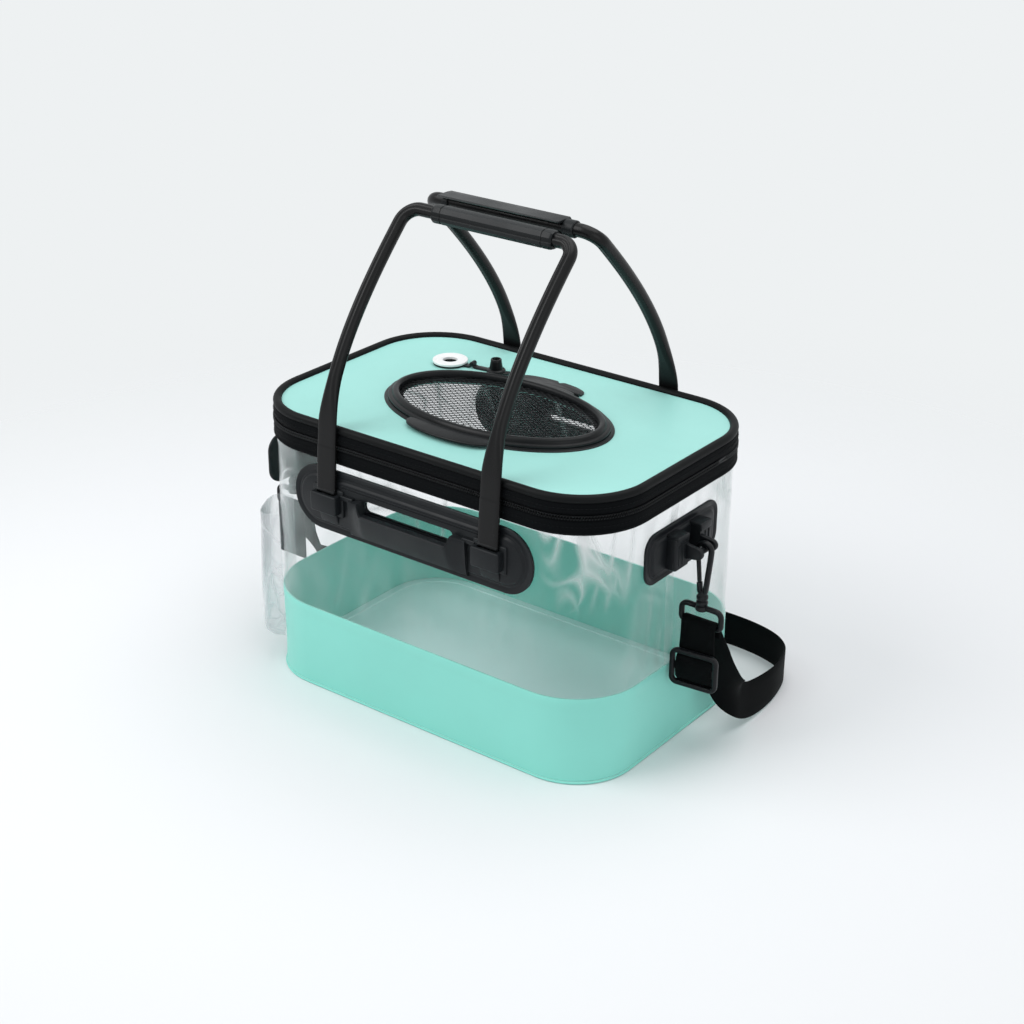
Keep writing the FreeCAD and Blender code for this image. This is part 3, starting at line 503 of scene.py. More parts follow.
class NodeSheet:
    """Shader nodes of one material, wired up call by call."""

    def __init__(self, name: str) -> None:
        """Starts a material with one principled surface."""
        self.material = bpy.data.materials.new(name)
        self.material.use_nodes = True
        self.tree = self.material.node_tree
        self.surface = self.tree.nodes["Principled BSDF"]

    def add(self, kind: str, inputs: dict[str, object] | None = None, **settings: object) -> bpy.types.Node:
        """New node.

        Args:
            kind: Node type without its prefix.
            inputs: Values or output sockets for its inputs, by name.
            settings: Properties of the node.

        Returns:
            The node.
        """
        node = self.tree.nodes.new("ShaderNode" + kind)
        for key, value in settings.items():
            setattr(node, key, value)
        for key, value in (inputs or {}).items():
            self.put(node.inputs[int(key)] if key.isdigit() else node.inputs[key], value)
        return node

    def put(self, socket: bpy.types.NodeSocket, value: object) -> None:
        """Links an output to a socket, or sets its value."""
        if isinstance(value, bpy.types.NodeSocket):
            self.tree.links.new(value, socket)
        else:
            socket.default_value = value

    def place(self, scale: Sequence[float] = (1, 1, 1), turn: float = 0.0) -> bpy.types.NodeSocket:
        """Object coordinates, scaled and turned about Z."""
        source = self.add("TexCoord").outputs["Object"]
        return self.add("Mapping", {"Vector": source, "Scale": scale, "Rotation": (0, 0, turn)}).outputs["Vector"]

    def uv(self, scale: Sequence[float] = (1, 1, 1)) -> bpy.types.NodeSocket:
        """The piece's own surface coordinates, scaled."""
        source = self.add("TexCoord").outputs["UV"]
        return self.add("Mapping", {"Vector": source, "Scale": scale}).outputs["Vector"]

    def noise(self, at: bpy.types.NodeSocket, scale: float, detail: float = 3.0) -> bpy.types.NodeSocket:
        """Cloudy value between 0 and 1."""
        return self.add("TexNoise", {"Vector": at, "Scale": scale, "Detail": detail}).outputs["Fac"]

    def cells(self, at: bpy.types.NodeSocket, scale: float, feature: str = "F1") -> bpy.types.NodeSocket:
        """Distance pattern of scattered cells."""
        return self.add("TexVoronoi", {"Vector": at, "Scale": scale}, feature=feature).outputs["Distance"]

    def waves(self, at: bpy.types.NodeSocket, scale: float, direction: str) -> bpy.types.NodeSocket:
        """Even ridges across one axis."""
        return self.add("TexWave", {"Vector": at, "Scale": scale, "Distortion": 0.0},
                        bands_direction=direction).outputs["Fac"]

    def math(self, operation: str, first: object, second: object = 0.5) -> bpy.types.NodeSocket:
        """Sum of two values, or another operation on them."""
        return self.add("Math", {"0": first, "1": second}, operation=operation).outputs["Value"]

    def ramp(self, value: bpy.types.NodeSocket, low: float, high: float, start: float,
             end: float) -> bpy.types.NodeSocket:
        """Value carried from the range low to high on to the range start to end."""
        return self.add("MapRange", {"Value": value, "From Min": low, "From Max": high, "To Min": start,
                                     "To Max": end}).outputs["Result"]

    def blend(self, share: bpy.types.NodeSocket, first: object, second: object) -> bpy.types.NodeSocket:
        """Colour between two colours."""
        node = self.add("Mix", data_type="RGBA")
        self.put(node.inputs[0], share)
        self.put(node.inputs[6], first)
        self.put(node.inputs[7], second)
        return node.outputs[2]

    def bump(self, height: bpy.types.NodeSocket, depth_mm: float,
             under: bpy.types.NodeSocket | None = None) -> bpy.types.NodeSocket:
        """Surface relief of a depth, over another relief."""
        node = self.add("Bump", {"Height": height, "Distance": depth_mm * MM, "Strength": 1.0})
        if under is not None:
            self.put(node.inputs["Normal"], under)
        return node.outputs["Normal"]

    def finish(self, **sockets: object) -> bpy.types.Material:
        """Sets or links the surface's sockets, named with underscores, and gives the material."""
        for key, value in sockets.items():
            self.put(self.surface.inputs[key.replace("_", " ")], value)
        return self.material


@dataclass(frozen=True)
class Finish:
    """A finish: the slot that it belongs to and its main colour."""
    name: str
    slot: Slot
    color: tuple[float, float, float, float]
    roughness: float = 0.5

    def make(self) -> bpy.types.Material:
        """Material with its nodes, made anew by each kind of finish."""
        raise NotImplementedError

    def material(self) -> bpy.types.Material:
        """The finish's material, made once."""
        return bpy.data.materials.get(self.name) or self.make()

    def dress(self, piece: Piece) -> Piece:
        """Puts the material on a piece."""
        piece.data.materials.clear()
        piece.data.materials.append(self.material())
        return piece

    def shades(self, sheet: NodeSheet, share: bpy.types.NodeSocket, change: float) -> bpy.types.NodeSocket:
        """Main colour varied a little, darker to lighter."""
        dark = tuple(value * (1 - change) for value in self.color[:3]) + (1.0,)
        light = tuple(min(1.0, value * (1 + change)) for value in self.color[:3]) + (1.0,)
        return sheet.blend(share, dark, light)


@dataclass(frozen=True)
class SheetFinish(Finish):
    """Soft coloured sheet with a fine grain and faint clouds."""

    def make(self) -> bpy.types.Material:
        """Grain, clouds of colour and shallow dents."""
        sheet = NodeSheet(self.name)
        at = sheet.place()
        clouds = sheet.noise(at, 14.0)
        grain = sheet.noise(at, 2200.0, 2.0)
        dents = sheet.noise(at, 42.0, 2.0)
        relief = sheet.bump(grain, 0.05, sheet.bump(dents, 0.5))
        return sheet.finish(Base_Color=self.shades(sheet, clouds, 0.05), Normal=relief,
                            Roughness=sheet.ramp(grain, 0.3, 0.7, self.roughness - 0.08, self.roughness + 0.08),
                            Sheen_Weight=0.08, Sheen_Roughness=0.5)


@dataclass(frozen=True)
class ClearFinish(Finish):
    """Clear vinyl with soft creases, painted highlights along them and a painted reflection where it turns away."""
    body: float = 0.02
    # The crease and veil strengths are painted light: white opacity for the creases' highlights and for the reflection
    # where the sheet turns away.
    crease_highlight: float = 0.42
    reflection_veil: float = 0.42
    low: float = 0.145
    high: float = 0.205
    # Strength of the painted highlights at the corners.
    corner: float = 0.7

    def make(self) -> bpy.types.Material:
        """See-through body, with painted highlights along soft creases and a painted reflection that whitens the sheet
        where it turns away.
        """
        sheet = NodeSheet(self.name)
        upright = sheet.place((1.0, 1.0, 0.3))
        slanted = sheet.place((1.0, 1.0, 1.3), 0.6)
        broad = sheet.noise(upright, 11.0, 0.0)
        height = sheet.add("SeparateXYZ", {"Vector": sheet.place()}).outputs["Z"]
        upper = sheet.ramp(height, self.low, self.high, 0.0, 1.0)
        # Painted highlights: white streaks along soft fold lines, more of them towards the zipper.
        painted_highlight = self.fold_highlights(sheet, upright, 26.0, sheet.ramp(broad, 0.42, 0.62, 0.0, 1.0))
        painted_highlight = sheet.math("MAXIMUM", painted_highlight, self.fold_highlights(sheet, slanted, 17.0, sheet.ramp(broad, 0.6, 0.4, 0.0, 1.0)))
        painted_highlight = sheet.math("MULTIPLY", sheet.math("MULTIPLY", painted_highlight, upper), self.crease_highlight)
        painted_highlight = sheet.math("MAXIMUM", painted_highlight, self.corner_fold_highlights(sheet, upper))
        relief = sheet.bump(sheet.noise(upright, 26.0, 1.0), 5.0, sheet.bump(sheet.noise(slanted, 17.0, 1.0), 6.0))
        # Painted reflection: more white opacity where the bumped sheet turns away from view.
        turned = sheet.add("LayerWeight", {"Blend": 0.5, "Normal": relief}).outputs["Facing"]
        reflection_veil = sheet.math("MULTIPLY", sheet.math("POWER", turned, 2.4), self.reflection_veil)
        alpha = sheet.math("ADD", painted_highlight, sheet.math("ADD", reflection_veil, self.body))
        # The painted highlights blend the colour towards white.
        return sheet.finish(Base_Color=sheet.blend(painted_highlight, self.color, (0.98, 0.99, 0.99, 1.0)), Normal=relief,
                            Roughness=sheet.ramp(broad, 0.3, 0.7, self.roughness, self.roughness + 0.06), Alpha=alpha,
                            IOR=1.6, Coat_Weight=1.0, Coat_Roughness=0.05)

    def corner_fold_highlights(self, sheet: NodeSheet, upper: bpy.types.NodeSocket) -> bpy.types.NodeSocket:
        """Painted highlights of sharper fold lines where the sheet goes round the corners.

        Args:
            sheet: Nodes of the material.
            upper: Share that grows towards the zipper.

        Returns:
            Value between 0 and 1.
        """
        spot = sheet.add("SeparateXYZ", {"Vector": sheet.place()})
        along = sheet.ramp(sheet.math("ABSOLUTE", spot.outputs["X"]), 0.12, 0.15, 0.0, 1.0)
        across = sheet.ramp(sheet.math("ABSOLUTE", spot.outputs["Y"]), 0.06, 0.09, 0.0, 1.0)
        corner = sheet.math("MULTIPLY", sheet.math("MULTIPLY", along, across), sheet.math("MULTIPLY", upper, self.corner))
        steep = self.fold_highlights(sheet, sheet.place((1.0, 1.0, 0.22), 1.1), 40.0, corner)
        return sheet.math("MAXIMUM", steep, self.fold_highlights(sheet, sheet.place((1.0, 1.0, 0.8), 0.3), 30.0, corner))

    @staticmethod
    def fold_highlights(sheet: NodeSheet, at: bpy.types.NodeSocket, scale: float,
              share: bpy.types.NodeSocket) -> bpy.types.NodeSocket:
        """Painted highlights: soft bright fold lines that thin out to nothing.

        Args:
            sheet: Nodes of the material.
            at: Coordinates.
            scale: How close the folds lie.
            share: Where they show.

        Returns:
            Value between 0 and 1.
        """
        near = sheet.math("ABSOLUTE", sheet.math("SUBTRACT", sheet.noise(at, scale, 0.0), 0.5))
        ridge = sheet.math("POWER", sheet.ramp(near, 0.0, 0.06, 1.0, 0.0), 2.0)
        return sheet.math("MULTIPLY", ridge, share)


@dataclass(frozen=True)
class MouldFinish(Finish):
    """Moulded plastic or rubber with a fine spark-eroded grain and rubbed edges."""
    grain: float = 1600.0
    depth: float = 0.05
    edge: tuple[float, float, float, float] = (0.02, 0.023, 0.025, 1.0)
    gloss: float = 0.2

    def make(self) -> bpy.types.Material:
        """Grain, patches of gloss and paler edges."""
        sheet = NodeSheet(self.name)
        at = sheet.place()
        grain = sheet.noise(at, self.grain, 2.0)
        patches = sheet.noise(at, 36.0)
        worn = sheet.ramp(sheet.add("NewGeometry").outputs["Pointiness"], 0.53, 0.62, 0.0, 0.7)
        color = sheet.blend(worn, self.shades(sheet, patches, 0.16), self.edge)
        return sheet.finish(Base_Color=color, Normal=sheet.bump(grain, self.depth),
                            Specular_IOR_Level=self.gloss,
                            Roughness=sheet.ramp(patches, 0.3, 0.7, self.roughness - 0.06, self.roughness + 0.08))


@dataclass(frozen=True)
class WeaveFinish(Finish):
    """Woven webbing or tape, ribbed along its own surface coordinates."""
    across: float = 900.0
    along: float = 700.0
    depth: float = 0.25
    own_map: bool = True

    def make(self) -> bpy.types.Material:
        """Ribs across and threads along, with a little fuzz."""
        sheet = NodeSheet(self.name)
        at = sheet.uv() if self.own_map else sheet.place()
        ribs = sheet.waves(at, self.across / math.tau, "X" if self.own_map else "DIAGONAL")
        threads = sheet.waves(at, self.along / math.tau, "Y" if self.own_map else "Z")
        weave = sheet.math("MULTIPLY", ribs, threads)
        fuzz = sheet.noise(sheet.place(), 900.0)
        color = self.shades(sheet, sheet.math("MULTIPLY_ADD", weave, 0.7), 0.45)
        relief = sheet.bump(weave, self.depth, sheet.bump(fuzz, 0.08))
        return sheet.finish(Base_Color=color, Roughness=self.roughness, Normal=relief, Sheen_Weight=0.02,
                            Sheen_Roughness=0.4, Specular_IOR_Level=0.06)


@dataclass(frozen=True)
class MetalFinish(Finish):
    """Black enamel with worn spots."""

    def make(self) -> bpy.types.Material:
        """Enamel that thins to bright metal in small spots."""
        sheet = NodeSheet(self.name)
        at = sheet.place()
        spots = sheet.ramp(sheet.noise(at, 320.0, 4.0), 0.62, 0.7, 0.0, 0.6)
        color = sheet.blend(spots, self.color, (0.32, 0.32, 0.33, 1.0))
        return sheet.finish(Base_Color=color, Roughness=sheet.ramp(spots, 0.0, 0.6, self.roughness, 0.25),
                            Metallic=0.4, Normal=sheet.bump(sheet.noise(at, 900.0), 0.03))


MINT = SheetFinish("mint_band", Slot.MINT, srgb(141, 225, 211), 0.46)
# The floor sheet is pale mint, and its colour is lightened further as painted light so that the shaded floor inside the
# tub looks lit.
MINT_FLOOR_PAINTED_LIGHT = SheetFinish("mint_floor_painted_light", Slot.MINT, srgb(214, 246, 243), 0.4)
MINT_LID = SheetFinish("mint_lid_sheet", Slot.MINT, srgb(158, 219, 211), 0.5)
CLEAR = ClearFinish("clear_vinyl", Slot.CLEAR, (0.84, 0.89, 0.89, 1.0), 0.08)
# The pocket vinyl carries the same painted highlights, fainter, and a stronger painted reflection.
POCKET = ClearFinish("pocket_vinyl", Slot.CLEAR, (0.83, 0.84, 0.87, 1.0), 0.08, body=0.12, reflection_veil=0.8, low=-0.1,
                     high=0.0, crease_highlight=0.2, corner=0.22)
MOULD = MouldFinish("moulded_plate", Slot.MOULD, srgb(19, 22, 25), 0.42)
HARDWARE = MouldFinish("moulded_hardware", Slot.MOULD, srgb(13, 15, 18), 0.36)
RUBBER = MouldFinish("satin_rubber", Slot.RUBBER, srgb(10, 12, 14), 0.32, grain=900.0, depth=0.03)
PIPING = MouldFinish("satin_piping", Slot.PIPING, srgb(7, 9, 10), 0.5, grain=700.0, depth=0.04, gloss=0.12)
TUBE = MouldFinish("handle_cover", Slot.TUBE, srgb(16, 16, 17), 0.3, grain=800.0, depth=0.05)
GRIP = MouldFinish("grip_cover", Slot.GRIP, srgb(14, 16, 18), 0.36)
WHITE = MouldFinish("white_washer", Slot.WHITE, srgb(244, 246, 246), 0.3, depth=0.02, edge=(0.93, 0.94, 0.94, 1.0), gloss=0.5)
NET = MouldFinish("net_strands", Slot.NET, srgb(14, 16, 18), 0.4)
COIL = MouldFinish("zip_teeth", Slot.COIL, srgb(13, 15, 17), 0.35, depth=0.03)
THREAD = WeaveFinish("sewing_thread", Slot.TAPE, srgb(14, 17, 19), 0.6, own_map=False, across=4000.0, along=4000.0)
TAPE = WeaveFinish("zipper_tape", Slot.TAPE, srgb(6, 8, 10), 0.72, own_map=False, across=3600.0, along=5200.0,
                   depth=0.12)
WEBBING = WeaveFinish("strap_webbing", Slot.WEBBING, srgb(4, 6, 7), 0.7, across=2400.0, along=3600.0, depth=0.3)
METAL = MetalFinish("slider_enamel", Slot.METAL, srgb(20, 21, 23), 0.38)


def done(piece: Piece, finish: Finish, body: str, *nodes: str, angle: float = 40.0) -> Piece:
    """Dresses a finished piece and ties it to the frame.

    Args:
        piece: Finished piece.
        finish: Its finish.
        body: Body that it rides on.
        nodes: Solids that it stands for.
        angle: Largest angle that is shaded smooth.

    Returns:
        The piece.
    """
    Bench.smooth(piece, angle)
    finish.dress(piece)
    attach(piece, body)
    if nodes:
        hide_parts(*nodes)
    LOG.info("%s on %s, %d faces", piece.name, body, len(piece.data.polygons))
    return piece


@dataclass
class Tub:
    """Soft tub: welded bottom, coloured band, clear wall and the clear pocket."""
    foot_inset: float = 4.0
    foot_corner: float = 52.0
    floor_thickness: float = 2.0
    bead_radius: float = 1.0
    band_height: float = 75.0
    band_thickness: float = 1.6
    wall_top: float = 212.0
    wall_inset: float = 1.5
    wall_thickness: float = 1.0
    wall_keep: float = 0.343
    seam_y: float = -14.0
    seam_width: float = 11.0
    pocket_front: float = -97.2
    pocket_back: float = -62.8
    pocket_bottom: float = 25.4
    pocket_top: float = 137.6
    pocket_depth: float = 18.4
    pocket_keep: float = 0.204

    def build(self) -> None:
        """All pieces of the tub."""
        # The floor wears the mint that is lightened with painted light.
        done(self.floor(), MINT_FLOOR_PAINTED_LIGHT, "base", "tub_floor")
        done(self.bead(), MINT, "base", "floor_weld_bead")
        done(self.band(), MINT, "base", "tub_band", angle=60)
        wall = done(self.wall(), CLEAR, "base", "clear_wall", angle=60)
        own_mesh(wall)
        seam = done(self.seam(), CLEAR, "base", angle=60)
        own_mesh(seam)
        pocket = done(self.pocket(), POCKET, "base", "side_pocket", angle=60)
        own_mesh(pocket)

    def floor(self) -> Piece:
        """Bottom sheet with a welded ridge round its edge."""
        length, width = RIM.length - 2 * self.foot_inset, RIM.width - 2 * self.foot_inset
        sheet = Bench.plate("floor_sheet", length, width, self.foot_corner, self.floor_thickness, 14)
        return Bench.raise_top(sheet, ((7.0, 0.0), (0.8, 0.7), (1.4, 0.0), (0.8, -0.7), (9.0, 0.0), (1.2, 0.4)))

    def bead(self) -> Piece:
        """Weld bead round the foot."""
        loop = RIM.loop(-self.foot_inset + 0.1, self.bead_radius, corner=self.foot_corner)
        return Bench.sweep("foot_bead", loop, lambda _: circle_section(self.bead_radius, 8),
                           lambda _: Vector((0, 0, 1)), looped=True)

    def band(self) -> Piece:
        """Coloured band with a soft face and a welded hem along its top."""
        def ring(z: float, inner: float) -> Outline:
            """Outline of the band at a height, moved in by a depth."""
            share = (z - self.floor_thickness) / (self.band_height - self.floor_thickness)
            outset = -self.foot_inset + (self.foot_inset - self.wall_inset) * share
            corner = self.foot_corner + (RIM.corner - self.wall_inset - self.foot_corner) * share
            points = RIM.loop(outset - inner, z, corner=corner - inner)
            calm = smooth_step(z, 2, 20) * (1 - smooth_step(z, 58, 75))
            return [point + RIM.outward(point) * (noise.noise(point * 13) * 0.9 * calm * MM) for point in points]
        heights = (2.2, 4, 9, 16, 24, 32, 40, 48, 56, 62, 65.6)
        outer = [ring(z, 0.15) for z in heights]
        hem = [ring(66.2, 0.05), ring(70, 0.0), ring(74.4, 0.0), ring(75, 0.4)]
        inner = [ring(z, self.band_thickness) for z in (74.8, 56, 40, 24, 9, 2.2)]
        return Bench.loft("coloured_band", outer + hem + inner, looped=True)

    def crinkle(self, point: Vector) -> Vector:
        """How far the clear sheet is drawn in at a point."""
        z = point.z / MM
        calm = smooth_step(z, self.band_height, self.band_height + 14)
        calm *= 1 - smooth_step(z, self.wall_top - 12, self.wall_top)
        swell = 0.9 + noise.noise(point * 17) * 1.1
        ridge = 1 - abs(noise.noise(Vector((point.x * 34, point.y * 34, point.z * 12))) * 2)
        fold = max(0.0, ridge - 0.55) * 2.2
        return RIM.outward(point) * (-max(0.0, swell * 0.9 + fold) * calm * MM)

    def wall(self) -> Piece:
        """Clear sheet with soft creases."""
        rows = 36
        rings = []
        for row in range(rows + 1):
            z = self.band_height + (self.wall_top - self.band_height) * row / rows
            rings.append(RIM.loop(-self.wall_inset, z, 20, 56, 36))
        wall = Bench.loft("clear_sheet", rings, caps=False)
        Bench.shift(wall, self.crinkle)
        return Bench.thicken(wall, self.wall_thickness)

    def seam(self) -> Piece:
        """Overlap where the clear sheet's two ends are welded together."""
        face = RIM.length / 2 - self.wall_inset
        rings = []
        for row in range(25):
            z = self.band_height + 0.8 + (self.wall_top - self.band_height - 1.6) * row / 24
            rings.append([mm(face + 0.05, self.seam_y + self.seam_width * (step / 4 - 0.5), z) for step in range(5)])
        seam = Bench.loft("sheet_overlap", rings, ring_closed=False)
        Bench.shift(seam, self.crinkle)
        return Bench.thicken(seam, 0.25, 1.0)

    def pocket_ring(self, z: float, bulge: float) -> Outline:
        """Open line of the pocket's skin at a height, from its front weld to its rear weld."""
        corner = RIM.corner - self.wall_inset + 0.35
        center_x, center_y = -RIM.length / 2 + RIM.corner, -RIM.width / 2 + RIM.corner
        points = []
        steps = 22
        for step in range(steps + 1):
            share = step / steps
            y = self.pocket_front + (self.pocket_back - self.pocket_front) * share
            drop = min(0.0, y - center_y)
            base = mm(center_x - math.sqrt(max(0.0, corner ** 2 - drop ** 2)), y, z)
            lift = (1 - abs(2 * share - 1) ** 6) ** 0.5
            wave = 1 + 0.05 * noise.noise(Vector((share * 3, z * 0.012, 3.1)))
            points.append(base + RIM.outward(base) * (self.pocket_depth * bulge * lift * wave * MM))
        return points

    def pocket(self) -> Piece:
        """Open clear pocket on the left side, by the front corner."""
        rows = 18
        rings = [self.pocket_ring(self.pocket_bottom, 0.02), self.pocket_ring(self.pocket_bottom + 0.3, 0.7),
                 self.pocket_ring(self.pocket_bottom + 3, 0.92)]
        for row in range(1, rows + 1):
            z = self.pocket_bottom + (self.pocket_top - self.pocket_bottom) * row / rows
            rings.append(self.pocket_ring(z, 0.95 + 0.05 * math.sin(row * 0.25)))
        return Bench.thicken(Bench.loft("side_pocket_skin", rings, ring_closed=False), 0.8, 0.0)


@dataclass
class ZipBand:
    """Zipper round the rim: two sewn tapes, two rows of teeth, sliders and the hinge hem."""
    tape_z: float = 212.0
    coil_z: float = 224.0
    coil_height: float = 1.85
    coil_gap: float = 0.3
    lid_top: float = 239.5
    stitch_pitch: float = 3.4

    def build(self) -> None:
        """All pieces of the zipper."""
        lower = [(-2.4, 212), (-0.5, 212), (0.05, 212.6), (0.1, 214.6), (-0.35, 215.3), (-0.12, 217.5),
                 (-0.06, 220.5), (-0.3, 222.6), (-0.9, 223.9), (-2.4, 223.9)]
        upper = [(-2.4, 228.1), (-0.9, 228.1), (-0.3, 229.3), (-0.05, 231.5), (-0.1, 234.2), (-0.6, 236.4),
                 (-1.5, 237.2), (-2.4, 236.6)]
        done(RIM.band("lower_tape", lower), TAPE, "rim", "lower_zip_tape", angle=50)
        done(RIM.band("upper_tape", upper), TAPE, "lid", "upper_zip_tape", angle=50)
        done(self.teeth("lower_teeth", self.coil_z, 0), COIL, "rim", "lower_zip_coil", angle=20)
        top_z = self.coil_z + self.coil_height + self.coil_gap
        done(self.teeth("upper_teeth", top_z, 2), COIL, "lid", "upper_zip_coil", angle=20)
        done(self.stitches("lower_tape_stitches", 218.6, -0.08), THREAD, "rim")
        done(self.stitches("hem_stitches", 213.6, 0.08), THREAD, "rim")
        done(self.stitches("upper_tape_stitches", 233.2, -0.06), THREAD, "lid")
        for node in ("zip_slider_front", "zip_slider_rear", "zip_pull_front", "zip_pull_rear"):
            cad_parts[node].data.materials.clear()
            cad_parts[node].data.materials.append(METAL.material())
        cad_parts["lid_hinge_cord"].data.materials.clear()
        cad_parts["lid_hinge_cord"].data.materials.append(TAPE.material())

    def teeth(self, name: str, z: float, phase: int) -> Piece:
        """Row of coil teeth: a band whose face steps in and out."""
        profile = ((-1.3, 0.0), (0.1, 0.0), (0.5, 0.35), (0.55, 0.95), (0.5, 1.5), (0.1, 1.85), (-1.3, 1.85))
        rings = []
        for outset, height in profile:
            proud = RIM.even_loop(outset, z + height, 0.55, 4)
            sunk = RIM.even_loop(min(outset, -0.35), z + height, 0.55, 4)
            count = min(len(proud), len(sunk))
            rings.append([proud[i] if (i + phase) % 4 < 2 else sunk[i * len(sunk) // len(proud)]
                          for i in range(count)])
        fewest = min(len(ring) for ring in rings)
        return Bench.loft(name, [ring[:fewest] for ring in rings], looped=True)

    def stitches(self, name: str, z: float, outset: float) -> Piece:
        """Row of sewn stitches: a thread that dips into the tape at even steps."""
        loop = RIM.even_loop(outset, z, self.stitch_pitch / 6, 6)
        dips = (-0.5, 0.0, 0.2, 0.2, 0.0, -0.5)
        path = [point + RIM.outward(point) * (dips[index % 6] * MM) for index, point in enumerate(loop)]
        return Bench.sweep(name, path, lambda _: circle_section(0.28, 5), lambda _: Vector((0, 0, 1)), looped=True)


@dataclass
class Oval:
    """Oval outline of the hatch."""
    center_y: float = -7.0
    half_length: float = 91.0
    half_width: float = 51.0

    def loop(self, outset: float, z: float, steps: int = 96) -> Outline:
        """Points of the oval, outset from the opening."""
        return [mm((self.half_length + outset) * math.cos(math.tau * step / steps),
                   self.center_y + (self.half_width + outset) * math.sin(math.tau * step / steps), z)
                for step in range(steps)]

    def band(self, name: str, section: Section) -> Piece:
        """Ring round the oval with a closed section of outset and height."""
        return Bench.loft(name, [self.loop(outset, z) for outset, z in section], looped=True)


@dataclass
class Lid:
    """Lid: coloured panel with piping, mesh hatch, air port and tethered plug."""
    top: float = 239.5
    panel_thickness: float = 2.5
    piping_radius: float = 3.5
    hatch_z: float = 241.8
    port_x: float = -98.0
    port_y: float = 55.5
    bore: float = 6.2
    plug_turn: float = 9.0
    plug_spacing: float = 44.0
    oval: Oval = field(default_factory=Oval)

    def build(self) -> None:
        """All pieces of the lid."""
        done(self.panel(), MINT_LID, "lid", "lid_panel", angle=50)
        done(self.piping(), PIPING, "lid", "lid_piping", angle=60)
        seat = ((-3, 239.55), (13, 239.55), (13, 240.1), (12.4, 240.5), (11.4, 240.7), (11.0, 241.45), (-3, 241.45))
        done(self.oval.band("hatch_flange", seat), RUBBER, "lid", "hatch_seat", angle=30)
        done(self.hatch_ring(), RUBBER, "hatch", "hatch_frame", angle=45)
        done(self.net(), NET, "hatch", "hatch_mesh")
        done(self.hinge_tab(), RUBBER, "lid", "hatch_hinge_tab")
        done(self.washer(), WHITE, "lid", "air_port", angle=30)
        liner = ((5.95, -6.2), (6.3, -6.2), (6.3, 1.2), (5.95, 1.2))
        done(Bench.lathe("port_liner", mm(self.port_x, self.port_y, self.top), liner, 48), RUBBER, "lid", angle=30)
        done(self.tether(), RUBBER, "lid", "plug_tether")
        done(self.plug(), RUBBER, "plug", "port_plug", angle=45)

    def panel(self) -> Piece:
        """Soft coloured panel with the hatch opening and the port hole."""
        outer = RIM.loop(-self.piping_radius - 2.0, self.top)
        rings = []
        for row in range(15):
            share = row / 14
            ring = []
            for point in outer:
                turn = math.atan2(point.y / MM / (RIM.width / 2), point.x / MM / (RIM.length / 2))
                target = mm((self.oval.half_length + 0.2) * math.cos(turn),
                            self.oval.center_y + (self.oval.half_width + 0.2) * math.sin(turn), self.top)
                spot = point.lerp(target, share)
                calm = smooth_step(share, 0.02, 0.25) * (1 - smooth_step(share, 0.55, 0.75))
                ring.append(spot + mm(0, 0, (noise.noise(spot * 16) * 0.5 - 0.35) * calm))
            rings.append(ring)
        panel = Bench.loft("lid_sheet", rings, caps=False)
        with Bench.edit(panel):
            bpy.ops.mesh.select_all(action="SELECT")
            bpy.ops.mesh.normals_make_consistent(inside=False)
        if panel.data.polygons[0].normal.z < 0:
            with Bench.edit(panel):
                bpy.ops.mesh.select_all(action="SELECT")
                bpy.ops.mesh.flip_normals()
        Bench.thicken(panel, self.panel_thickness)
        hole = Bench.lathe("hole_tool", mm(self.port_x, self.port_y, self.top), ((0.01, -8), (8.0, -8), (8.0, 8),
                                                                              (0.01, 8)), 32)
        return Bench.cut(panel, hole)

    def piping(self) -> Piece:
        """Round piping with a flat sewn foot."""
        loop = RIM.loop(-self.piping_radius, self.top, 18, 24, 14)
        return Bench.sweep("edge_piping", loop, lambda _: circle_section(self.piping_radius, 16),
                           lambda _: Vector((0, 0, 1)), looped=True)

    def hatch_ring(self) -> Piece:
        """Raised rubber ring of the hatch with its pull tongue and rear fold."""
        z = self.hatch_z
        section = ((0.0, z + 0.9), (0.2, z + 3.6), (0.9, z + 5.0), (2.2, z + 5.7), (3.8, z + 5.7), (5.2, z + 5.0),
                   (6.2, z + 3.6), (6.6, z + 2.4), (8.6, z + 2.1), (9.6, z + 1.7), (10.0, z + 0.9),
                   (10.0, z + 0.1), (6.4, z + 0.1), (6.4, z + 0.9))
        ring = self.oval.band("hatch_ring", section)
        tongue = self.tongue("front_tongue", -1, 42.0, 23.6, 0.2, 2.2)
        fold = self.tongue("rear_fold", 1, 33.0, 14.6, 0.2, 2.2)
        knuckle = Bench.sweep("fold_knuckle", [mm(x, 58.7, 241.5) for x in (-33, -32.6, -15, 0, 15, 32.6, 33)],
                              lambda i: circle_section(1.2 if i in (0, 6) else 1.6, 12), lambda _: Vector((0, 0, 1)))
        return Bench.join("hatch_ring", [ring, tongue, fold, knuckle])

    def tongue(self, name: str, side: int, half: float, reach: float, low: float, high: float) -> Piece:
        """Half-oval tongue that starts under the ring.

        Args:
            name: Name of the piece.
            side: -1 to the front, 1 to the rear.
            half: Half its length.
            reach: How far it comes out of the opening's edge.
            low: Height of its underside over the hatch's.
            high: Height of its top over the hatch's.

        Returns:
            The tongue.
        """
        edge = self.oval.center_y + side * self.oval.half_width
        levels = ((1.0, low), (1.0, high - 0.9), (0.985, high - 0.3), (0.95, high))
        rings = []
        for scale, level in levels:
            ring = []
            for step in range(33):
                turn = math.pi * step / 32
                ring.append(mm(half * scale * math.cos(turn), edge + side * (7 + (reach * scale - 7) * math.sin(turn) ** 0.8),
                               self.hatch_z + level))
            rings.append(ring)
        return Bench.loft(name, rings)

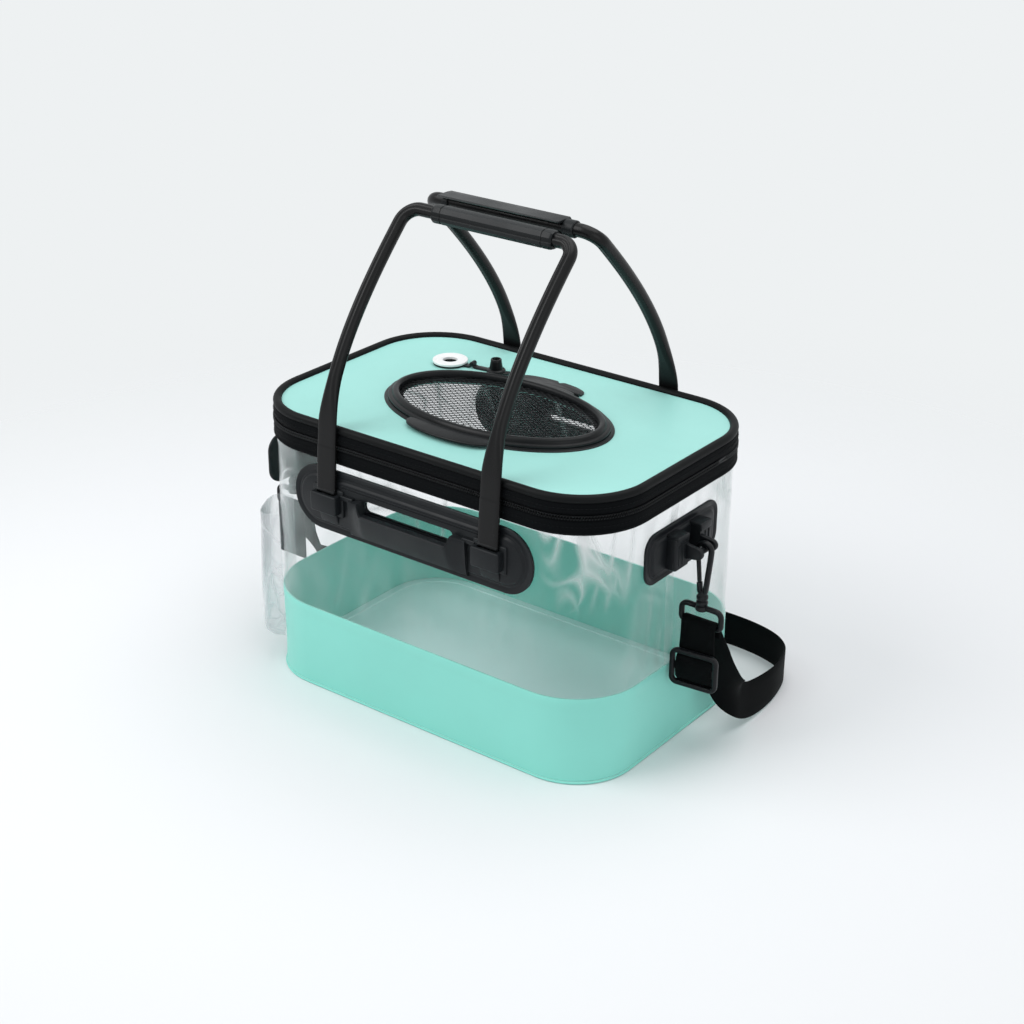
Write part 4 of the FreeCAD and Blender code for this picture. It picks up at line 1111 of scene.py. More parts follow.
    def net(self) -> Piece:
        """Woven net: a diamond grid cut to the oval and turned into strands."""
        Bench.clear()
        columns, rows = 44, 44
        bpy.ops.mesh.primitive_grid_add(x_subdivisions=columns, y_subdivisions=rows, size=1.0)
        net = bpy.context.object
        net.rotation_euler = (0, 0, math.pi / 4)
        Bench.settle(net, "hatch_net")
        net.scale = (mm(214, 0, 0).x, mm(130, 0, 0).x, 1.0)
        net.location = mm(0, self.oval.center_y, self.hatch_z + 0.45)
        Bench.settle(net, "hatch_net")
        with Bench.edit(net) as mesh:
            for vertex in mesh.verts:
                x = vertex.co.x / MM / (self.oval.half_length + 4.5)
                y = (vertex.co.y / MM - self.oval.center_y) / (self.oval.half_width + 4.5)
                vertex.select_set(x * x + y * y > 1)
            mesh.select_flush(False)
            bpy.ops.mesh.delete(type="VERT")
        return Bench.modify(net, "WIREFRAME", thickness=0.8 * MM, use_even_offset=False, use_boundary=True)

    def hinge_tab(self) -> Piece:
        """Tongue of the lid behind the hatch's fold."""
        rings = []
        for scale, z in ((1.0, 239.55), (1.0, 240.7), (0.97, 241.15)):
            ring = []
            for step in range(65):
                turn = math.pi * step / 64
                x = 33 * scale * math.cos(turn)
                notch = 2.6 * math.exp(-((x - 4) / 2.2) ** 4)
                ring.append(mm(x, 60.8 + 13.8 * scale * math.sin(turn) ** 0.6 - notch, z))
            rings.append(ring)
        return Bench.loft("hatch_rear_tab", rings)

    def washer(self) -> Piece:
        """White grommet of the air port."""
        section = ((self.bore, -6.4), (7.7, -6.4), (7.7, 1.7), (14.5, 1.7), (15, 2.0), (15, 3.3), (14.6, 3.7),
                   (13.8, 3.9), (8.2, 3.95), (7.0, 3.7), (self.bore + 0.1, 3.1), (self.bore, 2.4))
        return Bench.lathe("port_washer", mm(self.port_x, self.port_y, self.top), section, 56)

    def along_tether(self) -> tuple[Vector, Vector]:
        """Port's foot and the direction from it to the plug."""
        turn = math.radians(self.plug_turn)
        return mm(self.port_x, self.port_y, self.top), Vector((math.cos(turn), math.sin(turn), 0))

    def strip(self, name: str, stations: Section, width: float, thickness: float) -> Piece:
        """Flat rubber strip along the tether with given distances and heights."""
        foot, along = self.along_tether()
        path = [foot + along * (distance * MM) + mm(0, 0, height) for distance, height in stations]
        return Bench.sweep(name, path, lambda _: rounded_section(width, thickness, 0.6, 2), lambda _: Vector((0, 0, 1)))

    def tether(self) -> Piece:
        """Rubber ring under the washer and the tether's fixed half."""
        ring = Bench.lathe("tether_ring", self.along_tether()[0],
                           ((7.95, 0.05), (14.2, 0.05), (14.6, 0.5), (14.6, 1.5), (7.95, 1.5)), 48)
        strip = self.strip("tether_strip", ((13, 0.85), (16, 0.85), (19.2, 0.85)), 6.4, 1.5)
        return Bench.join("port_tether", [ring, strip])

    def plug(self) -> Piece:
        """Hollow plug, mouth up, on the loose half of the tether, with its pull tail."""
        foot, along = self.along_tether()
        base = foot + along * (self.plug_spacing * MM)
        body = Bench.lathe("plug_body", base, ((0.4, 0.1), (7.4, 0.1), (8, 0.6), (8, 2.0), (7.3, 2.9), (5.7, 3.3),
                                               (5.3, 6), (4.7, 9.5), (4.5, 11.4), (4.1, 11.9), (3.3, 11.8),
                                               (3.0, 11.2), (3.0, 3.4), (0.4, 3.3)), 40)
        strip = self.strip("plug_strip", ((20.2, 3.6), (21.6, 2.9), (23.2, 1.7), (25, 0.95), (32, 0.85), (44, 0.85),
                                          (53, 0.9), (56, 1.2), (56.8, 1.3)), 6.2, 1.5)
        across = Vector((-along.y, along.x, 0))
        pivot = foot + along * (self.plug_spacing / 2 * MM) + mm(0, 0, 3.6)
        knuckle = Bench.sweep("plug_knuckle", [pivot + across * (s * MM) for s in (-3.2, -2.9, 0, 2.9, 3.2)],
                              lambda i: circle_section(1.6 if i in (0, 4) else 2.1, 12), lambda _: Vector((0, 0, 1)))
        return Bench.join("port_stopper", [body, strip, knuckle])


@dataclass
class GrabPlate:
    """Welded plate of a long side with its grab bar and the bridges of the handle straps."""
    length: float = 236.0
    height: float = 54.0
    face: float = 114.8
    top: float = 206.5
    thickness: float = 2.2
    raise_height: float = 1.6
    slot_length: float = 88.0
    bar_length: float = 116.0
    leg_x: float = 80.0

    def build(self) -> None:
        """Front plate and its twin at the rear."""
        flat = self.flat_plate()
        middle = self.top - self.height / 2
        rear = Bench.copy(flat, "rear_grab_plate", stand(Side.REAR, self.face, 0, middle))
        front = Bench.place(flat, "front_grab_plate", stand(Side.FRONT, self.face, 0, middle))
        done(front, MOULD, "rim", "front_plate", angle=35)
        done(rear, MOULD, "rim", "rear_plate", angle=35)

    def flat_plate(self) -> Piece:
        """The whole plate lying on its back: X along it, Y up the wall, Z out of the wall."""
        flange = Bench.plate("grab_flange", self.length, self.height, self.height / 2 - 0.4, self.thickness - 0.5, 16)
        Bench.raise_top(flange, ((0.6, 0.5), (3.6, 0.0), (0.5, -0.35), (0.8, 0.0), (0.5, 0.35), (1.2, 0.0),
                                 (1.2, self.raise_height - 0.3), (0.8, 0.3)))
        slot = Bench.plate("slot_tool", self.slot_length, 9.5, 4.0, 12.0, 8)
        Bench.place(slot, "slot_tool", Matrix.Translation(mm(0, self.slot_y, -4)))
        Bench.cut(flange, slot)
        pieces = [flange, self.bar()]
        for step in (0.0, 2.2):
            pieces.append(Bench.block("top_rib", (-68, 14.2 + step, 3.5), (68, 15.2 + step, 4.5), 0.4, 2))
        for sign in (-1, 1):
            pieces += self.bridge(sign)
        return Bench.join("grab_plate", pieces)

    @property
    def slot_y(self) -> float:
        """Middle height of the slot over the plate's middle."""
        return self.height / 2 - 16.5 - 4.75

    def bar(self) -> Piece:
        """Grab bar: a trough that is open upwards, with rounded cheeks."""
        low, high = self.slot_y - 4.75 - 24, self.slot_y - 4.75
        half = self.bar_length / 2
        rings = []
        for step in range(59):
            x = -half + self.bar_length * step / 58
            away = smooth_step(abs(x), half - 15, half)
            ear = 8.6 * smooth_step(abs(x), self.slot_length / 2 - 1, self.slot_length / 2 + 1.5)
            top, reach = high + ear * (1 - 0.25 * away), 1 - 0.62 * away ** 0.7
            profile = ((low, 2.0), (low + 0.3, 3.4), (low + 1.4, 4.2 + 1.2 * reach), (low + 9, 4.4 + 4.6 * reach),
                       (top - 3.6, 4.6 + 7.4 * reach), (top - 1.4, 4.6 + 8.0 * reach), (top - 0.4, 4.4 + 7.6 * reach),
                       (top, 4.2 + 6.6 * reach), (top, 2.0))
            rings.append([mm(x, y, z) for y, z in profile])
        bar = Bench.loft("grab_bar", rings)
        room = Bench.block("room_tool", (-half + 15, low + 6, 3.85), (half - 15, high + 16, 7.4), 0.8, 3)
        Bench.cut(bar, room)
        shelves = []
        for sign in (-1, 1):
            shelf = Bench.block("bar_shelf", (-6.5, high + 4.4, 2.0), (6.5, high + 8.4, 6.4), 1.0, 3)
            shelves.append(Bench.place(shelf, "bar_shelf", Matrix.Translation(mm(sign * (half + 2.5), 0, 0))))
        return Bench.join("grab_bar", [bar] + shelves)

    def bridge(self, sign: int) -> list[Piece]:
        """Moulded bridge that holds a strap's end, with its side rib and the wedge below."""
        top = 190.0 - 1.9 - (self.top - self.height / 2)
        low = top - 16
        x = sign * self.leg_x
        block = Bench.block("strap_bridge", (x - 13, low, 2.0), (x + 13, top, 12.2), 1.3, 3)
        shoulder = Bench.block("bridge_shoulder", (x - 15.5, low - 3, 2.0), (x + 15.5, top + 4, 5.6), 1.4, 3)
        strap_room = Bench.block("strap_tool", (x - 9.4, top - 3.2, 2.2), (x + 9.4, top + 8, 9.4), 0.4, 2)
        Bench.cut(block, strap_room)
        room = Bench.block("strap_tool", (x - 9.4, top - 3.2, 4.0), (x + 9.4, top + 8, 9.4), 0.2, 1)
        Bench.cut(shoulder, room)
        wedge = Bench.block("strap_wedge", (x - 9, low - 11, 2.0), (x + 9, low + 1, 7.0), 0.9, 3)
        with Bench.edit(wedge) as mesh:
            for vertex in mesh.verts:
                if vertex.co.z > mm(0, 0, 4).z:
                    slope = (low + 1 - vertex.co.y / MM) / 12
                    vertex.co.z -= mm(0, 0, 3.0 * slope).z
        return [block, shoulder, wedge]


@dataclass
class HookPatch:
    """Welded patch of a short side with its moulded box and hook bar."""
    width: float = 100.0
    height: float = 42.0
    corner: float = 13.0
    face: float = 173.8
    top: float = 198.0
    thickness: float = 2.0
    bar_out: float = 22.0
    right_y: float = -5.0
    left_y: float = -38.0

    def build(self) -> None:
        """Right patch and its twin on the left."""
        flat = self.flat_patch()
        middle = self.top - self.height / 2
        left = Bench.copy(flat, "left_hook_patch", stand(Side.LEFT, self.face, self.left_y, middle))
        right = Bench.place(flat, "right_hook_patch", stand(Side.RIGHT, self.face, self.right_y, middle))
        done(right, MOULD, "rim", "right_patch", angle=35)
        done(left, MOULD, "rim", "left_patch", angle=35)

    def cheek(self, middle: float, bar_y: float) -> Piece:
        """Ear that holds one end of the hook bar, wide at its foot and round at its tip."""
        profile = [(bar_y - 7.4, 2.0), (bar_y - 7.2, 9.0), (bar_y - 5.6, 15.0)]
        for step in range(13):
            turn = math.pi * (step / 12 - 0.5)
            profile.append((bar_y + 4.7 * math.sin(turn), self.bar_out + 4.7 * math.cos(turn)))
        profile += [(bar_y + 5.6, 15.0), (bar_y + 7.2, 9.0), (bar_y + 7.4, 2.0)]
        ear = Bench.loft("bar_cheek", [[mm(middle + x, y, z) for y, z in profile] for x in (-1.95, 1.95)])
        return Bench.round_edges(ear, 0.7, 3, 60)

    def flat_patch(self) -> Piece:
        """The whole patch lying on its back: X along it, Y up the wall, Z out of the wall."""
        flange = Bench.plate("patch_flange", self.width, self.height, self.corner, self.thickness - 0.5, 10)
        Bench.raise_top(flange, ((0.6, 0.5), (3.2, 0.0), (0.5, -0.35), (0.9, 0.0), (0.5, 0.35), (1.0, 0.0),
                                 (1.4, 1.3), (0.9, 0.3)))
        half = 25.0
        box = Bench.block("hook_box", (-half, -13, 2.0), (half, 13, 12.4), 2.0, 4)
        room = Bench.block("room_tool", (-8, -24, 3.7), (8, 24, 30), 0.0)
        Bench.cut(box, room)
        ledge = Bench.block("box_ledge", (-half + 1.5, 8.6, 2.0), (-8.2, 14.8, 13.2), 1.0, 3)
        ledge_twin = Bench.copy(ledge, "box_ledge_twin", Matrix.Scale(-1, 4, (1, 0, 0)))
        pieces = [flange, box, ledge, ledge_twin]
        bar_y = 177.0 - (self.top - self.height / 2)
        for sign in (-1, 1):
            middle = sign * 10.0
            pieces.append(self.cheek(middle, bar_y))
            for x in (15.5, 20.5):
                pieces.append(Bench.block("box_rib", (sign * x - 0.8, -9, 11.6), (sign * x + 0.8, 7.6, 13.0), 0.5, 2))
        bar = Bench.sweep("hook_bar", [mm(x, bar_y, self.bar_out) for x in (-9, -4, 0, 4, 9)],
                          lambda _: circle_section(2.5, 16), lambda _: Vector((0, 0, 1)))
        patch = Bench.join("hook_patch", pieces + [bar])
        with Bench.edit(patch):
            bpy.ops.mesh.select_all(action="SELECT")
            bpy.ops.mesh.normals_make_consistent(inside=False)
        return patch


@dataclass
class HookSet:
    """Snap hook, its sprung gate and the swivelling strap loop of one side."""
    name: str
    side: Side
    along: float
    out: float = 195.8
    top_z: float = 176.0
    foot_z: float = 142.6
    collar_z: float = 130.6

    def build(self) -> None:
        """All pieces of one hook."""
        turn = Matrix.Translation(mm(0, self.along, 0)) @ Matrix.Rotation(math.radians(self.side.value), 4, "Z")
        hook = Bench.place(self.hook(), self.name + "_snap_hook", turn)
        done(hook, HARDWARE, self.name + "_hook", self.name + "_hook", angle=45)
        gate = Bench.place(self.gate(), self.name + "_gate_tongue", turn)
        done(gate, HARDWARE, self.name + "_gate", self.name + "_hook_gate", angle=45)
        loop = Bench.place(self.loop(), self.name + "_strap_loop", turn)
        done(loop, HARDWARE, self.name + "_loop", self.name + "_swivel_loop", angle=45)

    def leg(self, share: float) -> Vector:
        """Point on the wall-side leg as a share of its height."""
        return mm(0, -(193.3 - 3.4 * share), self.foot_z + (self.top_z - self.foot_z) * share)

    def hook(self) -> Piece:
        """Bow of the hook with its two-ring collar, made facing -Y."""
        path = [self.leg(0.80), self.leg(0.9)]
        for step in range(13):
            turn = math.pi * step / 12
            path.append(mm(0, -self.out + 5.9 * math.cos(turn), self.top_z + 5.9 * math.sin(turn)))
        path += [mm(0, -201.0, 168), mm(0, -200.0, 158.5), mm(0, -199.0, 149)]
        for step in range(7):
            turn = math.pi * step / 6
            path.append(mm(0, -self.out - 2.5 * math.cos(turn), self.foot_z - 2.5 * math.sin(turn)))
        path += [self.leg(0.1), self.leg(0.18)]
        thick = rounded_section(4.0, 4.3, 1.3)
        bow = Bench.sweep("hook_bow", path, lambda _: thick, lambda _: Vector((1, 0, 0)))
        foot = mm(0, -self.out, self.collar_z)
        collar = Bench.lathe("hook_collar", foot, ((1.7, 0), (4.1, 0), (4.6, 0.5), (4.6, 2.6), (4.1, 3.1), (3.6, 3.4),
                                                   (3.6, 4.3), (4.1, 4.6), (4.6, 5.1), (4.6, 7.2), (4.1, 7.8),
                                                   (3.2, 9.4), (2.4, 11.6), (1.7, 11.6)), 28)
        return Bench.join("hook_bow", [bow, collar])

    def gate(self) -> Piece:
        """Sprung gate, thinner than the bow."""
        path = [self.leg(0.205), self.leg(0.22), self.leg(0.4), self.leg(0.6), self.leg(0.765), self.leg(0.782)]
        thin, end = rounded_section(3.0, 3.6, 1.2), rounded_section(2.0, 2.6, 0.8)
        return Bench.sweep("gate", path, lambda i: end if i in (0, 5) else thin, lambda _: Vector((1, 0, 0)))

    def loop(self) -> Piece:
        """D-shaped loop for the webbing with its swivel stem."""
        path = []
        half_width, low, high = 17.6, 113.55, 128.0
        corners = ((1, 1), (-1, 1), (-1, -1), (1, -1))
        for turn, (sx, sz) in enumerate(corners):
            radius = 5.0 if sz > 0 else 3.0
            edge = high if sz > 0 else low
            for step in range(6):
                angle = math.pi / 2 * (turn + step / 5)
                path.append(mm(0, -self.out + sx * (half_width - radius) + radius * math.cos(angle),
                               edge - sz * radius + radius * math.sin(angle)))
        section = rounded_section(4.2, 3.9, 1.4)
        loop = Bench.sweep("strap_loop", path, lambda _: section, lambda _: Vector((1, 0, 0)), looped=True)
        foot = mm(0, -self.out, 125.8)
        stem = Bench.lathe("loop_stem", foot, ((0.3, 0), (4.6, 0), (5.2, 1.2), (4.4, 3.6), (3.0, 4.3), (1.6, 4.5),
                                               (1.6, 13.4), (0.3, 13.6)), 24)
        return Bench.join("strap_loop", [loop, stem])


@dataclass
class ShoulderStrap:
    """Webbing strap from loop to loop round the back, with its adjuster."""
    out: float = 195.8
    right_y: float = -0.8
    left_y: float = -33.8
    width: float = 30.0
    thickness: float = 1.6
    loop_z: float = 113.55
    keep: float = 0.236
    swing: float = 6.0

    def build(self) -> None:
        """Webbing, its doubled end and the adjuster."""
        line = self.line()
        strap = self.webbing("shoulder_webbing", line, self.across)
        done(strap, WEBBING, "base", "strap_right_fall", "strap_right_twist", "strap_rear_run", "strap_left_twist",
             "strap_left_fall", angle=50)
        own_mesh(strap)
        tails = [self.tail("right", self.out, self.right_y), self.tail("left", -self.out, self.left_y)]
        for tail in tails:
            done(tail, WEBBING, "base", angle=50)
            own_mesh(tail)
        adjuster = done(self.adjuster(), HARDWARE, "adjuster", "strap_adjuster", angle=45)

    def line(self) -> Outline:
        """Middle line of the strap, read from one smooth spline."""
        out = self.out
        right, left = self.right_y, self.left_y
        route = [(out, right, 113), (out + 1, 5, 97), (out + 3, 17, 70), (out + 6, 32, 40), (out + 8, 52, 20),
                 (out + 9, 80, 15.6), (out + 8, 112, 15.6), (out - 4, 146, 15.6), (out - 40, 160, 15.6),
                 (out - 95, 160, 15.6), (0, 158, 15.6), (95 - out, 160, 15.6), (40 - out, 160, 15.6),
                 (4 - out, 146, 15.6), (-8 - out, 112, 15.6), (-9 - out, 70, 15.6), (-8 - out, left + 62, 20),
                 (-6 - out, left + 36, 40), (-3 - out, left + 18, 70), (-1 - out, left + 6, 97), (-out, left, 113)]
        data = bpy.data.curves.new("strap_route", "CURVE")
        data.dimensions = "3D"
        spline = data.splines.new("NURBS")
        spline.points.add(len(route) - 1)
        for point, (x, y, z) in zip(spline.points, route):
            point.co = (*mm(x, y, z), 1.0)
        spline.order_u = 3
        spline.use_endpoint_u = True
        spline.resolution_u = 12
        holder = bpy.data.objects.new("strap_route", data)
        bpy.context.collection.objects.link(holder)
        bpy.context.view_layer.update()
        mesh = bpy.data.meshes.new_from_object(holder)
        points = [vertex.co.copy() for vertex in mesh.vertices]
        bpy.data.objects.remove(holder, do_unlink=True)
        bpy.data.meshes.remove(mesh)
        return points

    def across(self, point: Vector) -> Vector:
        """Direction across the webbing: level on the fall, upright behind the bucket."""
        side, fall = (1, self.right_y) if point.x > 0 else (-1, self.left_y)
        back = point.y / MM - fall
        turn = math.radians(102 * smooth_step(back, 12, 50) - 12 * smooth_step(back, 60, 120))
        swing = math.radians(14 * smooth_step(back, 0, 12))
        level = math.cos(turn)
        return Vector((side * level * math.cos(swing), level * math.sin(swing), math.sin(turn)))

    def webbing(self, name: str, line: Outline, across: Callable[[Vector], Vector]) -> Piece:
        """Flat woven band along a line, with its surface coordinates.

        Args:
            name: Name of the piece.
            line: Middle line.
            across: Gives the direction across the band at a point.

        Returns:
            The band.
        """
        half, thin = self.width / 2, self.thickness / 2
        section = [(-half, -thin * 0.4), (-half + 0.8, -thin), (-half / 2, -thin), (0, -thin), (half / 2, -thin),
                   (half - 0.8, -thin), (half, -thin * 0.4), (half, thin * 0.4), (half - 0.8, thin), (half / 2, thin),
                   (0, thin), (-half / 2, thin), (-half + 0.8, thin), (-half, thin * 0.4)]
        rings = []
        for index, point in enumerate(line):
            along = (line[min(index + 1, len(line) - 1)] - line[max(index - 1, 0)]).normalized()
            wide = across(point)
            wide = (wide - along * wide.dot(along)).normalized()
            normal = along.cross(wide)
            rings.append([point + wide * (a * MM) + normal * (b * MM) for a, b in section])
        band = Bench.loft(name, rings)
        self.lay_map(band, line, across)
        return band

    def lay_map(self, band: Piece, line: Outline, across: Callable[[Vector], Vector]) -> None:
        """Surface coordinates in metres: along the line and across it."""
        lengths = [0.0]
        for a, b in zip(line, line[1:]):
            lengths.append(lengths[-1] + (b - a).length)
        layer = band.data.uv_layers.new(name="weave")
        places = []
        for vertex in band.data.vertices:
            nearest = min(range(len(line)), key=lambda i: (line[i] - vertex.co).length_squared)
            places.append((lengths[nearest], (vertex.co - line[nearest]).dot(across(line[nearest]))))
        for corner in band.data.loops:
            layer.data[corner.index].uv = places[corner.vertex_index]

    def tail(self, name: str, x: float, back_y: float) -> Piece:
        """Doubled end: over the loop's foot and down in front of the fall."""
        front_y = back_y - 8.4
        low = self.loop_z - (54 if x > 0 else 46)
        line = [mm(x, back_y + 0.2, 104), mm(x, back_y, 109), mm(x, back_y, self.loop_z)]
        for step in range(1, 8):
            turn = math.pi * step / 8
            line.append(mm(x, back_y - 4.2 + 4.2 * math.cos(turn), self.loop_z + 4.2 * math.sin(turn)))
        for step in range(int((self.loop_z - low) / 3) + 1):
            z = self.loop_z - 3 * step
            weave = smooth_step(z, 62, 70) * (1 - smooth_step(z, 82, 90)) if x > 0 else 0.0
            line.append(mm(x, front_y - 4.1 * weave, z))
        def across(point: Vector) -> Vector:
            """Level, and swung a little with the adjuster."""
            swing = math.radians(self.swing * (1 - smooth_step(point.z / MM, 84, 108))) if x > 0 else 0.0
            return Vector((math.cos(swing), math.sin(swing), 0))
        return self.webbing(name + "_doubled_end", line, across)

    def adjuster(self) -> Piece:
        """Three-bar slide: a rounded frame with a flat middle bar."""
        middle, y = 76.05, -12.3
        path = []
        half_width, half_height, radius = 18.4, 13.9, 4.5
        for turn, (sx, sz) in enumerate(((1, 1), (-1, 1), (-1, -1), (1, -1))):
            for step in range(6):
                angle = math.pi / 2 * (turn + step / 5)
                path.append(mm(self.out + sx * (half_width - radius) + radius * math.cos(angle), y,
                               middle + sz * (half_height - radius) + radius * math.sin(angle)))
        section = rounded_section(4.0, 4.2, 1.3)
        rim = Bench.sweep("slide_rim", path, lambda _: section, lambda _: Vector((0, 1, 0)), looped=True)
        bar = Bench.block("slide_bar", (self.out - 18, y + 0.1, middle - 3.3), (self.out + 18, y + 1.9, middle + 3.3),
                          0.6, 3)
        slide = Bench.join("strap_slide", [rim, bar])
        pivot = Matrix.Translation(mm(self.out, y, 0))
        return Bench.place(slide, "strap_slide", pivot @ Matrix.Rotation(math.radians(self.swing), 4, "Z") @ pivot.inverted())


@dataclass
class Handle:
    """Carry handle: flat straps that run into a ribbed tube with a moulded grip."""
    name: str
    side: Side
    grip_y: float
    grip_z: float
    hinge_y: float = -121.6
    hinge_z: float = 190.0
    leg_x: float = 80.0
    knee_rise: float = 50.0
    knee_lean: float = 3.4
    knee_pull: float = 57.0
    bow_pull: float = 40.0
    wide_bend: float = 14.0
    tight_bend: float = 12.0
    strap_width: float = 18.0
    strap_thickness: float = 3.0
    tube_radius: float = 5.4

    def build(self) -> None:
        """Straps and bow of one handle."""
        turn = Matrix.Rotation(math.radians(self.side.value), 4, "Z")
        bow = Bench.place(self.bow(), self.name + "_bow", turn)
        body = self.name + "_handle"
        done(bow, TUBE, body, body + "_straps", body + "_tube", angle=50)

    def leg(self, side: int, bend: float) -> list[tuple[Vector, Vector]]:
        """Points of one leg from its hinge to the middle of the bow's top, with the way out of the bow's plane.

        Args:
            side: -1 for the left leg, 1 for the right one.
            bend: Radius of the bend at its top.

        Returns:
            Pairs of point and direction, in millimetres.
        """
        foot = Vector((side * self.leg_x, self.hinge_y, self.hinge_z))
        upright = Vector((0, self.knee_lean, self.knee_rise)).normalized()
        across = Vector((1, 0, 0))
        knee, corner = foot + upright * self.knee_rise, foot + upright * (self.knee_rise + self.knee_pull)
        crown = Vector((side * self.leg_x, self.grip_y, self.grip_z))
        lean = (crown - corner).normalized()
        top = crown - lean * bend
        pull = top - lean * self.bow_pull
        points = [(foot.lerp(knee, share), across.cross(upright)) for share in (0, 0.02, 0.25, 0.5, 0.71, 0.72, 0.74, 0.75, 0.76, 0.9)]
        for step in range(33):
            t = step / 32
            first, second, third = knee.lerp(corner, t), corner.lerp(pull, t), pull.lerp(top, t)
            near, far = first.lerp(second, t), second.lerp(third, t)
            points.append((near.lerp(far, t), across.cross((far - near).normalized())))
        for step in range(1, 13):
            turn = math.pi / 2 * step / 12
            inward = across * (-side * bend * (1 - math.cos(turn)))
            points.append((top + inward + lean * (bend * math.sin(turn)), across.cross(lean)))
        return points

    def section(self, span: float) -> Section:
        """Section at a distance from the hinge: flat webbing that rolls up into a grooved tube."""
        roll = smooth_step(span, 52, 96)
        sheath = 0.3 * (1 - smooth_step(span, 36, 37.5))
        steps = 40
        points = []
        for step in range(steps):
            turn = math.tau * step / steps
            c, s = math.cos(turn), math.sin(turn)
            flat_x = (self.strap_width / 2 + sheath) * math.copysign(abs(c) ** 0.35, c)
            flat_y = (self.strap_thickness / 2 + sheath) * math.copysign(abs(s) ** 0.5, s)
            groove = 1 - 0.2 * math.exp(-((turn - math.pi * 1.5) / 0.22) ** 2)
            groove -= 0.08 * math.exp(-((turn - math.pi * 0.5) / 0.22) ** 2)
            round_x, round_y = self.tube_radius * c * groove, self.tube_radius * s * groove
            points.append((flat_x + (round_x - flat_x) * roll, flat_y + (round_y - flat_y) * roll))
        return points

    def bow(self) -> Piece:
        """Straps and tube in one, with the barrels that they turn on."""
        left, right = self.leg(-1, self.wide_bend), self.leg(1, self.tight_bend)
        spans: list[float] = []
        for leg in (left, right):
            lengths = [0.0]
            for (a, _), (b, _) in zip(leg, leg[1:]):
                lengths.append(lengths[-1] + (b - a).length)
            spans += lengths if leg is left else lengths[::-1]
        line = left + right[::-1]
        bow = Bench.sweep("handle_bow", [point * MM for point, _ in line], lambda index: self.section(spans[index]),
                          lambda index: -line[index][1])
        barrels = []
        for sign in (-1, 1):
            ends = [mm(sign * self.leg_x + x, self.hinge_y, self.hinge_z) for x in (-8.9, -8.4, 0, 8.4, 8.9)]
            barrels.append(Bench.sweep("strap_barrel", ends, lambda i: circle_section(1.7 if i in (0, 4) else 2.15),
                                       lambda _: Vector((0, 0, 1))))
        return Bench.join("handle_bow", [bow] + barrels)


@dataclass
class Grips:
    """Moulded sleeve of the front handle and the open clip of the rear one."""
    front_y: float = -18.0
    front_z: float = 395.0
    rear_y: float = 8.0
    rear_z: float = 397.0
    shift: float = 5.0
    front_half: float = 57.0
    rear_half: float = 58.0

    def build(self) -> None:
        """Both grips."""
        done(self.sleeve(), GRIP, "front_handle", "front_grip", angle=30)
        done(self.clip(), GRIP, "rear_handle", "rear_clip_grip", angle=30)

    def along_x(self, name: str, stations: Sequence[tuple[float, float]], section: Section, y: float,
                z: float) -> Piece:
        """Bar along X whose section grows or shrinks by a scale at each station."""
        rings = []
        for x, scale in stations:
            rings.append([mm(x, y + a * scale, z + b * scale) for a, b in section])
        return Bench.loft(name, rings)

    def sleeve(self) -> Piece:
        """Faceted sleeve with a lip along its lower front and a parting groove near each end."""
        section = ((-6.9, -3.8), (-7.1, -1.4), (-6.3, -0.7), (-6.5, 2.6), (-4.4, 6.1), (-1.2, 7.2), (3.0, 6.8),
                   (6.4, 3.9), (7.2, 0.0), (6.6, -4.0), (3.6, -6.8), (-0.6, -7.2), (-4.8, -6.6))
        h = self.front_half
        marks = ((-h, 0.9), (0.8 - h, 0.97), (2.5 - h, 1.0), (8.4 - h, 1.0), (8.7 - h, 0.94), (9.3 - h, 0.94),
                 (9.6 - h, 1.0))
        stations = [(x + self.shift, scale) for x, scale in marks]
        stations += [(self.shift - x, scale) for x, scale in reversed(marks)]
        return self.along_x("front_sleeve", stations, section, self.front_y, self.front_z)

    def clip(self) -> Piece:
        """Channel clip, open to the front, with a flat lip on top and a collar at each end."""
        section = ((7.6, -5.0), (7.7, 4.2), (6.0, 6.7), (1.0, 7.2), (-11.0, 7.2), (-11.7, 6.4), (-10.9, 5.5),
                   (-1.0, 5.2), (2.8, 4.4), (3.6, 2.6), (3.8, 0), (3.6, -2.8), (2.4, -4.4), (-2.4, -5.0), (-4.8, -5.9),
                   (-4.0, -7.2), (4.0, -7.2))
        h = self.rear_half
        marks = ((-h, 0.94), (1.0 - h, 1.0), (-20, 1.0), (20, 1.0), (h - 1.0, 1.0), (h, 0.94))
        clip = self.along_x("rear_clip", [(x - self.shift, scale) for x, scale in marks], section, self.rear_y,
                            self.rear_z)
        pieces = [clip]
        for middle, half in ((h - self.shift + 4.5, 5.0), (3.2 - h - self.shift, 3.0)):
            path = [mm(middle + x * half, self.rear_y, self.rear_z) for x in (-1, -0.85, 0.85, 1)]
            pieces.append(Bench.sweep("clip_collar", path, lambda i: circle_section(6.1 if i in (0, 3) else 6.8, 24),
                                      lambda _: Vector((0, 0, 1))))
        return Bench.join("rear_clip", pieces)


